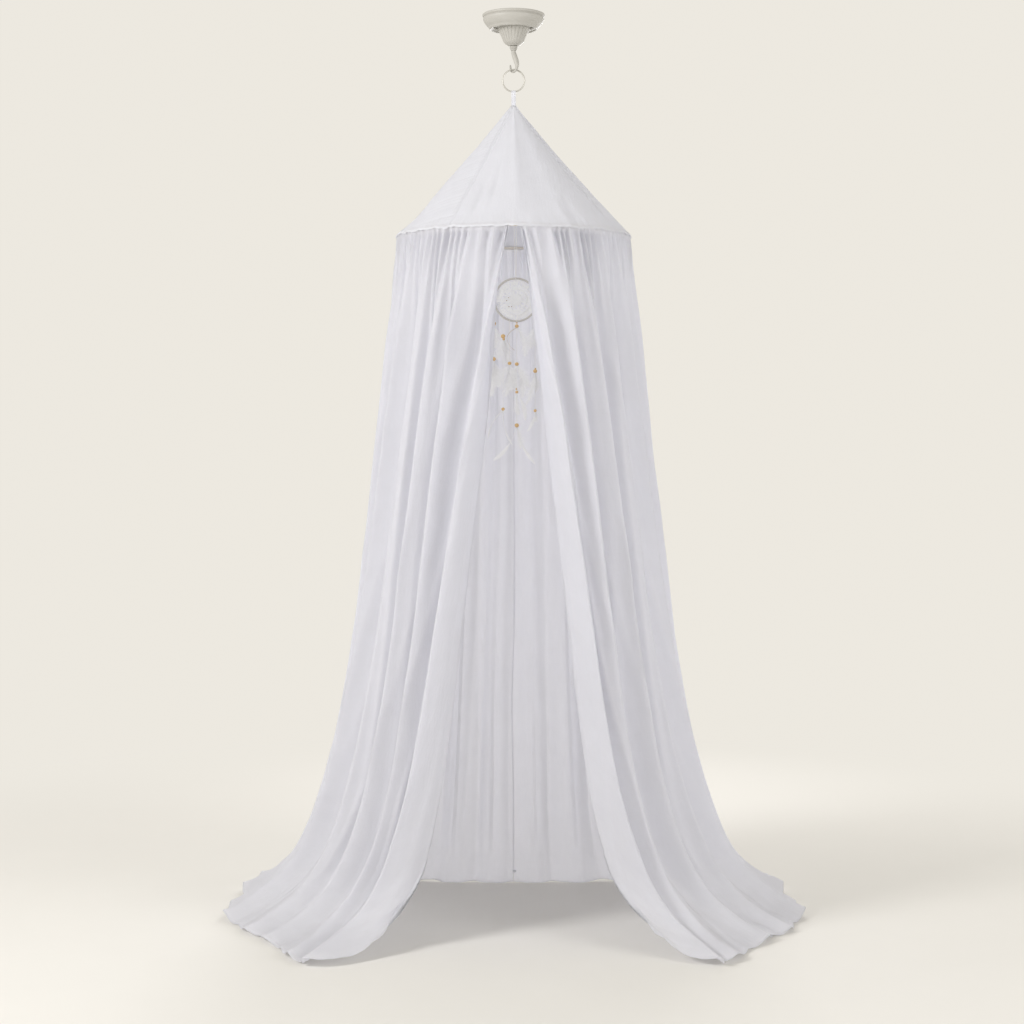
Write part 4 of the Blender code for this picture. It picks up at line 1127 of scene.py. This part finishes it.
# The feathers: bead number, kind, then tip to the right, tip down, sideways bow, width and distance behind.
# The first sixteen stand for the model's own feathers, and the rest are the fine ones between them.
NODE_FEATHERS = 16
FEATHERS = (
    (0, "quill", -43, 52, -8, 6, -2.2),
    (0, "down", 4, 64, 4, 32, 2.2),
    (1, "down", -34, 72, -6, 40, -2.2),
    (1, "leaf", -8, 96, 3, 30, 2.2),
    (2, "down", -18, 60, 3, 36, -2.2),
    (4, "down", -30, 62, -4, 38, -4),
    (4, "down", -10, 86, 4, 32, 2.2),
    (6, "down", 14, 88, 7, 36, 5.2),
    (7, "leaf", 22, 73, 6, 20, -4),
    (8, "tip", -60, 90, 10, 18, -3),
    (8, "tip", 48, 100, -8, 14, 3),
    (9, "down", -12, 60, -4, 30, -2.2),
    (9, "leaf", 15, 66, 4, 28, 2.2),
    (10, "down", -24, 88, 4, 24, -2.2),
    (11, "leaf", -20, 53, 4, 13, -2.2),
    (3, "quill", -39, 75, -8, 7, -2.2),
    (3, "quill", 24, 92, -8, 8, 2.2),
    (5, "bare", -6, 62, -22, 3, -3),
    (5, "down", 20, 78, 10, 30, 5),
    (11, "leaf", 0, 28, 2, 18, 2.2),
    (7, "down", 6, 60, -4, 26, 5),
    (1, "down", -46, 50, 8, 34, -6),
    (10, "down", 2, 56, 2, 20, 4),
    (8, "down", 10, 60, 3, 24, 5),
    (2, "down", 12, 74, 4, 34, 4.8),
    (1, "down", 12, 70, 2, 30, 6),
    (4, "down", 16, 66, 3, 30, -6),
    (6, "down", 30, 60, 4, 28, -5.2),
    (6, "down", -14, 70, -3, 34, -2.2),
    (9, "leaf", 2, 50, 2, 30, 5.2),
)


# The beads sewn into the lace: to the right of its centre, down from it, and radius
LACE_BEADS = (
    (-23.8, 1.8, 1.2),
    (-17.8, 17.2, 1.2),
    (-11, 17.2, 1.1),
    (-19, -5.5, 0.9),
)
# Each kind of feather: first and last place of its barbs on the quill, their number, their angle in degrees,
# their unevenness, and their width as a share of a full web
BARBS = {
    "leaf": (0.16, 0.99, 56, 34.0, 0.07, 1.10),
    "down": (0.06, 0.98, 84, 50.0, 0.30, 0.90),
    "quill": (0.55, 0.99, 34, 22.0, 0.12, 0.95),
    "tip": (0.42, 0.99, 52, 30.0, 0.06, 1.05),
    "bare": (0.90, 0.99, 8, 30.0, 0.2, 0.9),
}
# Places along a barb, and its width there; it ends in a point
BARB_STEPS = ((0.0, 1.0), (0.4, 0.95), (0.75, 0.6), (1.0, 0.0))
QUILL_RADIUS = {"quill": 0.0011, "bare": 0.0008, "leaf": 0.0005, "down": 0.0005, "tip": 0.0005}
# The strings' ties: their distance from the middle of the ring's body, and their knots' drop below it
TIE_REACH = 0.0041
KNOT_DROP = 0.0046
BORE = 0.36


def bead_place(number):
    """A bead's centre, in X and Z, and its radius."""
    letter, down, radius = BEADS[number]
    return DREAM_X + STRANDS[letter][0] / 1000, DREAM_Z - down / 1000, radius / 1000


def circle(radius, count, wave, lobes, lift):
    """A closed wavy path in the lace's plane about its centre."""
    angles = np.linspace(0.0, math.tau, count + 1)
    reach = radius + wave * np.abs(np.sin(angles * lobes / 2))
    return np.stack([reach * np.cos(angles), lift * np.cos(angles * lobes), reach * np.sin(angles)], axis=1)


def arch(angle, spread, inner, outer):
    """A pointed loop of thread that starts and ends on an inner round."""
    part = np.linspace(0.0, 1.0, 13)
    turn = angle + spread * (part - 0.5) * (1 + 0.5 * np.sin(np.pi * part))
    reach = inner + (outer - inner) * np.sin(np.pi * part) ** 0.7
    return np.stack([reach * np.cos(turn), 0.0003 * np.sin(np.pi * part), reach * np.sin(turn)], axis=1)


def ornament_ring(cord):
    """A wire round wound closely with cotton cord."""
    windings, per_turn = 190, 8
    angles = np.linspace(0.0, math.tau, windings * per_turn + 1)
    twist = angles * windings
    reach = DREAM_MIDDLE + 0.0022 * np.cos(twist)
    path = np.stack([reach * np.cos(angles), 0.0022 * np.sin(twist), reach * np.sin(angles)], axis=1)
    coarse = angles[::16]
    core = np.stack([DREAM_MIDDLE * np.cos(coarse), 0 * coarse, DREAM_MIDDLE * np.sin(coarse)], axis=1)
    made = joined("wound_ring", moved([sweep(path, 0.00078, 5), sweep(core, 0.0021, 8)], DREAM), cord)
    dressed(made, "cotton_cord", "dream_ring")


def lace(thread, brown):
    """Crochet in rounds: a close centre, petals, arches and picots, laced into the ring."""
    rng = np.random.default_rng(8)
    edge = DREAM_OUTER - 2 * DREAM_BODY - 0.0004
    paths = []
    for radius in np.arange(0.0018, 0.0130, 0.0020):
        paths.append((circle(radius, 72, 0.0006, int(8 + radius * 1600), 0.0003), 0.00088))
    for radius, lobes in ((0.0136, 12), (0.0262, 24), (0.0374, 36)):
        paths.append((circle(radius, 180, 0.0011, lobes, 0.0004), 0.00095))
    for count, inner, outer in ((12, 0.0150, 0.0256), (24, 0.0276, 0.0368), (36, 0.0388, edge)):
        for i in range(count):
            angle = math.tau * (i + rng.normal(0.0, 0.06)) / count
            high = outer - abs(rng.normal(0.0, 0.0008))
            paths.append((arch(angle, 5.2 / count, inner, high), 0.00088))
            if rng.random() < 0.72:
                paths.append((arch(angle, 2.4 / count, inner, inner + (high - inner) * 0.66), 0.00085))
            if rng.random() < 0.50:
                paths.append((arch(angle + math.pi / count, 1.2 / count, inner, high), 0.00075))
    shapes = []
    for path, radius in paths:
        uneven = radius * (1 + 0.22 * np.sin(np.arange(len(path)) * 2.2))
        shapes.append(sweep(path, uneven, 5))
    picot = turned([(0.00001, 0.0011), (0.0008, 0.0007), (0.0011, 0.0), (0.0008, -0.0007),
                    (0.00001, -0.0011)], 6)
    for count, reach in ((12, 0.0252), (24, 0.0362), (36, 0.0455)):
        for angle in math.tau * np.arange(count) / count:
            shapes += moved([picot], (reach * math.cos(angle), -0.0004, reach * math.sin(angle)))
    dressed(joined("crochet_round", moved(shapes, DREAM), thread), "lace", "dream_web")
    dots = []
    for right, down, radius in np.array(LACE_BEADS) / 1000:
        dots += moved([bead_shape(radius, 0.35, 12, 8)], (DREAM_X + right, -0.0014, DREAM_Z - down))
    dressed(joined("lace_beads", dots, brown), "wood_beads")


def bead_shape(radius, bore, steps, rows):
    """A slightly flattened round bead with a hole down its middle."""
    turns = np.linspace(0.28, math.pi - 0.28, rows)
    outer = [(radius * math.sin(a) ** 0.9, radius * 0.94 * math.cos(a)) for a in turns]
    inner = [(bore * radius * 0.5, outer[-1][1]), (bore * radius * 0.5, outer[0][1])]
    return turned(outer + inner + outer[:1], steps)


def beads(finish):
    """The twelve threaded beads, and the small second beads as one piece."""
    for number in range(len(BEADS)):
        x, z, radius = bead_place(number)
        bead = moved([bead_shape(radius, BORE, 28, 15)], (x, 0.0, z))
        name = "bead_%02d" % (number + 1)
        dressed(joined(name, bead, finish), "wood_beads", "dream_" + name)
    shapes = []
    for letter, down, radius, right in SMALL_BEADS:
        place = (DREAM_X + STRANDS[letter][0] / 1000 + right / 1000, -0.0012, DREAM_Z - down / 1000)
        shapes += moved([bead_shape(radius / 1000, BORE, 18, 11)], place)
    dressed(joined("small_beads", shapes, finish), "wood_beads")


def two_ply(path, radius, pitch):
    """Two threads twisted round each other along a path."""
    length = lengths(path)[-1]
    at = np.linspace(0.0, length, int(length / pitch * 6) + 2)
    line = points_at(path, at)
    shapes = []
    for start in (0.0, math.pi):
        turn = at / pitch * math.tau + start
        offset = np.stack([np.cos(turn), np.sin(turn), 0 * turn], axis=1) * radius * 0.5
        shapes.append(sweep(line + offset, radius * 0.56, 5))
    return shapes


def knot(place, size):
    """A small overhand knot: two crossing turns of thread."""
    turn = np.linspace(0.0, math.tau * 2, 33)
    path = np.stack([size * np.cos(turn), size * 0.8 * np.sin(turn), size * 0.7 * np.sin(turn / 2)], axis=1)
    return sweep(path + np.array(place), size * 0.42, 6)


def strings(cord):
    """The doubled string from the roof, and the strings that carry the beads, each tied to the ring."""
    top_z, tie_z = LOOP_END_Z - GAP, DREAM_Z + DREAM_OUTER + 0.0052
    down = np.linspace(0.0, 1.0, 25)
    shapes = []
    for side in (-1.0, 1.0):
        x = DREAM_X * down + side * (0.0006 + 0.0020 * np.sin(np.pi * down ** 2.2))
        path = np.stack([x, 0.0005 * side + 0 * down, top_z + (tie_z - top_z) * down], axis=1)
        shapes += two_ply(path, 0.00085, 0.0036)
    shapes.append(knot((DREAM_X, 0.0, tie_z), 0.0015))
    shapes.append(knot((DREAM_X, -0.0004, tie_z - 0.0022), 0.0013))
    wrap = np.linspace(0.0, math.tau, 33)
    around = np.stack([DREAM_X + 0.0004 * np.cos(wrap * 2), TIE_REACH * np.sin(wrap),
                       DREAM_Z + DREAM_MIDDLE + TIE_REACH * np.cos(wrap)], axis=1)
    shapes.append(sweep(around, 0.0006, 6))
    dressed(joined("doubled_string", shapes, cord), "cotton_cord", "dream_string")
    sway = np.linspace(0.0, 1.0, 15)
    for letter, (right, end) in STRANDS.items():
        x, end = right / 1000, end / 1000
        height = math.sqrt(max(DREAM_MIDDLE ** 2 - x ** 2, 0.0))
        tie = np.array((DREAM_X + x, 0.0, DREAM_Z - height))
        angle = math.atan2(-height, x)
        out = np.array((math.cos(angle), 0.0, math.sin(angle)))
        behind = np.array((0.0, 1.0, 0.0))
        ring = tie + TIE_REACH * (np.cos(wrap)[:, None] * out + np.sin(wrap)[:, None] * behind)
        knot_z = DREAM_Z - height - KNOT_DROP
        line = np.stack([DREAM_X + x + 0.0006 * np.sin(sway * 9 + x * 400) * sway * (1 - sway), 0 * sway,
                         knot_z + (DREAM_Z - end - knot_z) * sway], axis=1)
        shapes = [sweep(ring, 0.0006, 6), knot((DREAM_X + x, -0.0006, knot_z), 0.0013)]
        shapes += two_ply(line, 0.00062, 0.0030) + [knot(line[-1], 0.0011)]
        dressed(joined("thread_" + letter, shapes, cord), "cotton_cord", "dream_strand_" + letter)


def feather(number, finish, quill_finish):
    """A quill with barbs on both sides: a leaf, loose down, bare, or with a leaf at its tip alone."""
    bead, kind, *sizes = FEATHERS[number]
    right, down, bow, width, behind = [size / 1000 for size in sizes]
    first, last, count, degrees, uneven, web = BARBS[kind]
    rng = np.random.default_rng(100 + number)
    x, z, radius = bead_place(bead)
    root = np.array((x + math.copysign(0.0005, right), behind * 0.4, z - radius * 0.8))
    run = np.array((x + right, behind, z - down)) - root
    length = np.linalg.norm(run)
    side = np.array((-run[2], 0.0, run[0])) / np.hypot(run[0], run[2])
    part = np.linspace(0.0, 1.0, 22)
    bend = bow * 4 * part * (1 - part)
    spine = root + part[:, None] * run + side * bend[:, None]
    spine[:, 1] += 0.004 * np.sin(np.pi * part) * math.copysign(1.0, behind) + 0.003 * part ** 3
    along = np.gradient(spine, axis=0)
    along /= np.linalg.norm(along, axis=1, keepdims=True)
    half = length * (last - first) / count * web * 0.75
    points, faces = [], []
    for hand in (-1.0, 1.0):
        for place in np.linspace(first, last, count):
            spot = [np.interp(place, part, column) for column in (*spine.T, *along.T)]
            here, way = np.array(spot[:3]), np.array(spot[3:])
            flat = np.cross(way, (0.0, 1.0, 0.0)) * hand
            share = (place - first) / (1 - first)
            shape = math.sin(math.pi * min(share, 0.999) ** 0.75) ** 0.75
            reach = max(width / 2 * shape * (1 + rng.normal(0.0, uneven)), 0.0012)
            angle = math.radians(degrees + rng.normal(0.0, degrees * uneven * 0.5))
            curl = rng.normal(0.0, uneven * 0.5)
            lift = rng.normal(0.0, 0.10 + uneven) * reach * 0.5
            start = len(points)
            for step, wide in BARB_STEPS:
                lean = angle * (1 - 0.35 * step) + curl * step
                out = here + (flat * math.sin(lean) + way * math.cos(lean)) * reach * step / math.sin(angle)
                out = out + np.array((0.0, lift * step ** 2 + 0.10 * reach * step, 0.0))
                points += [out - way * half * wide, out + way * half * wide] if wide else [out]
            faces += [[start, start + 1, start + 3, start + 2], [start + 2, start + 3, start + 5, start + 4],
                      [start + 4, start + 5, start + 6]]
    quill = sweep(spine, QUILL_RADIUS[kind] * (1 - 0.8 * part) + 0.00006, 6)
    name = "feather_%02d" % (number + 1)
    made = joined(name, [quill, (np.array(points), faces)], quill_finish if kind == "bare" else finish)
    dressed(made, "feather", *(["dream_" + name] if number < NODE_FEATHERS else []))


# Hems, the back seam and stitches

STITCH = (0.00005, 0.00013, 0.00005)
ROLL_STEP = 0.0024
SEAM_STEP = 0.003


def hem_roll(name, path, cloth, seed):
    """A narrow rolled hem, slightly ropey, along an edge of the cloth."""
    at = np.arange(0.0, lengths(path)[-1], ROLL_STEP)
    line = points_at(path, at)
    wave = noise_line(at * 160.0, seed, seed)
    radii = HEM_ROLL * (1 + 0.22 * np.sin(at * 1400.0) + 0.18 * wave)
    line[:, 2] = np.maximum(line[:, 2] + 0.0004 * wave, FLOOR_Z + HEM_ROLL * 1.3)
    return dressed(joined(name, [sweep(line, radii, 6)], cloth), "curtain_cloth")


def back_seam(cloth, grid):
    """The seam that joins the two curtains inside the centre back, and the small roll at its end."""
    path = grid[:, 0] - np.array((0.0004, 0.0, 0.0))
    at = np.arange(0.0, lengths(path)[-1] * 0.985, SEAM_STEP)
    line = points_at(path, at)
    line[:, 1] -= 0.0010
    line[:, 0] += 0.0006 * noise_line(at * 22.0, 5.0, BACK_SEAM_SEED)
    fold = np.stack([line + np.array((0.0010 * side, -0.0003 * lift, 0.0))
                     for side, lift in ((-1.0, 0.0), (-0.4, 1.0), (0.4, 1.2), (1.0, 0.2))], axis=1)
    fold[:, :, 0] += (0.0003 * np.sin(at * 900.0))[:, None]
    fold[:, :, 2] = np.maximum(fold[:, :, 2], FLOOR_Z + 0.001)
    u, v = np.meshgrid(np.linspace(0.0, 0.004, 4), at)
    seam = sheet_object("back_seam_allowance", fold, 0.0003, cloth, np.stack([u, v], axis=-1))
    dressed(seam, "curtain_cloth")
    turns = np.linspace(0.0, math.tau * 2.5, 50)
    coil = np.stack([np.linspace(-0.004, 0.004, 50), 0.0022 * np.cos(turns), 0.0022 * np.sin(turns)], axis=1)
    coil = coil + line[-1] + np.array((0.002, -0.006, 0.006))
    dressed(joined("back_seam_end", [sweep(coil, 0.0018, 8)], cloth), "curtain_cloth")
    return seam


def stitches(name, path, thread):
    """Small machine stitches along a path on the roof."""
    shapes = []
    for place in np.arange(0.002, lengths(path)[-1] - STITCH_PITCH, STITCH_PITCH):
        line = points_at(path, place + np.array((0.0, 0.35, 0.70)) * STITCH_PITCH)
        shapes.append(sweep(line, STITCH, 4))
    return dressed(joined(name, shapes, thread), "roof_cloth")


camera()
floor()
lights()
COTTON = cotton("curtain_cotton", (0.895, 0.897, 0.925), (0.855, 0.857, 0.885), 0.64, 0.5)
ROOF_COTTON = cotton("roof_cotton", (0.885, 0.89, 0.92), (0.845, 0.85, 0.88), 0.48, 0.4)
# In these three finishes the darker colour comes from random mottling and from painted shade in the hollows
PAINT = painted("cream_paint", (0.44, 0.428, 0.392), (0.25, 0.240, 0.212), 0.42)
RING_METAL = painted("lacquered_wire", (0.52, 0.505, 0.46), (0.36, 0.345, 0.31), 0.34, 0.35)
HOOP_FINISH = painted("hoop_fibreglass", (0.86, 0.80, 0.70), (0.68, 0.61, 0.51), 0.50)
CORD = fibre("cotton_cord", (0.94, 0.93, 0.90), (0.82, 0.80, 0.76), 900.0)
WRAP = fibre("ring_wrap", (0.74, 0.71, 0.66), (0.60, 0.575, 0.53), 900.0)
THREAD = fibre("sewing_thread", (0.88, 0.88, 0.90), (0.78, 0.78, 0.80), 1200.0)
LACE = fibre("crochet_cotton", (0.97, 0.97, 0.95), (0.90, 0.90, 0.88), 1100.0)
WOOD = wood("turned_wood", (0.82, 0.58, 0.28), (0.58, 0.36, 0.14))
DARK_WOOD = wood("brown_wood", (0.45, 0.27, 0.10), (0.25, 0.13, 0.05))
PLUMAGE = plumage("white_feather", (0.98, 0.98, 0.97), (0.93, 0.93, 0.92))
QUILL = plumage("brown_quill", (0.76, 0.70, 0.62), (0.60, 0.53, 0.44))

ceiling_plate(PAINT)
collar(PAINT)
hook(PAINT)
ring(RING_METAL)
hanging_loop(ROOF_COTTON, THREAD)
hoop(HOOP_FINISH)
curtains(COTTON)
roof(ROOF_COTTON, THREAD)
cloth_and_fitting = set(bpy.data.objects)
ornament_ring(WRAP)
lace(LACE, DARK_WOOD)
strings(CORD)
beads(WOOD)
for number in range(len(FEATHERS)):
    feather(number, PLUMAGE, QUILL)
flagged_light([piece for piece in bpy.data.objects if piece not in cloth_and_fitting])
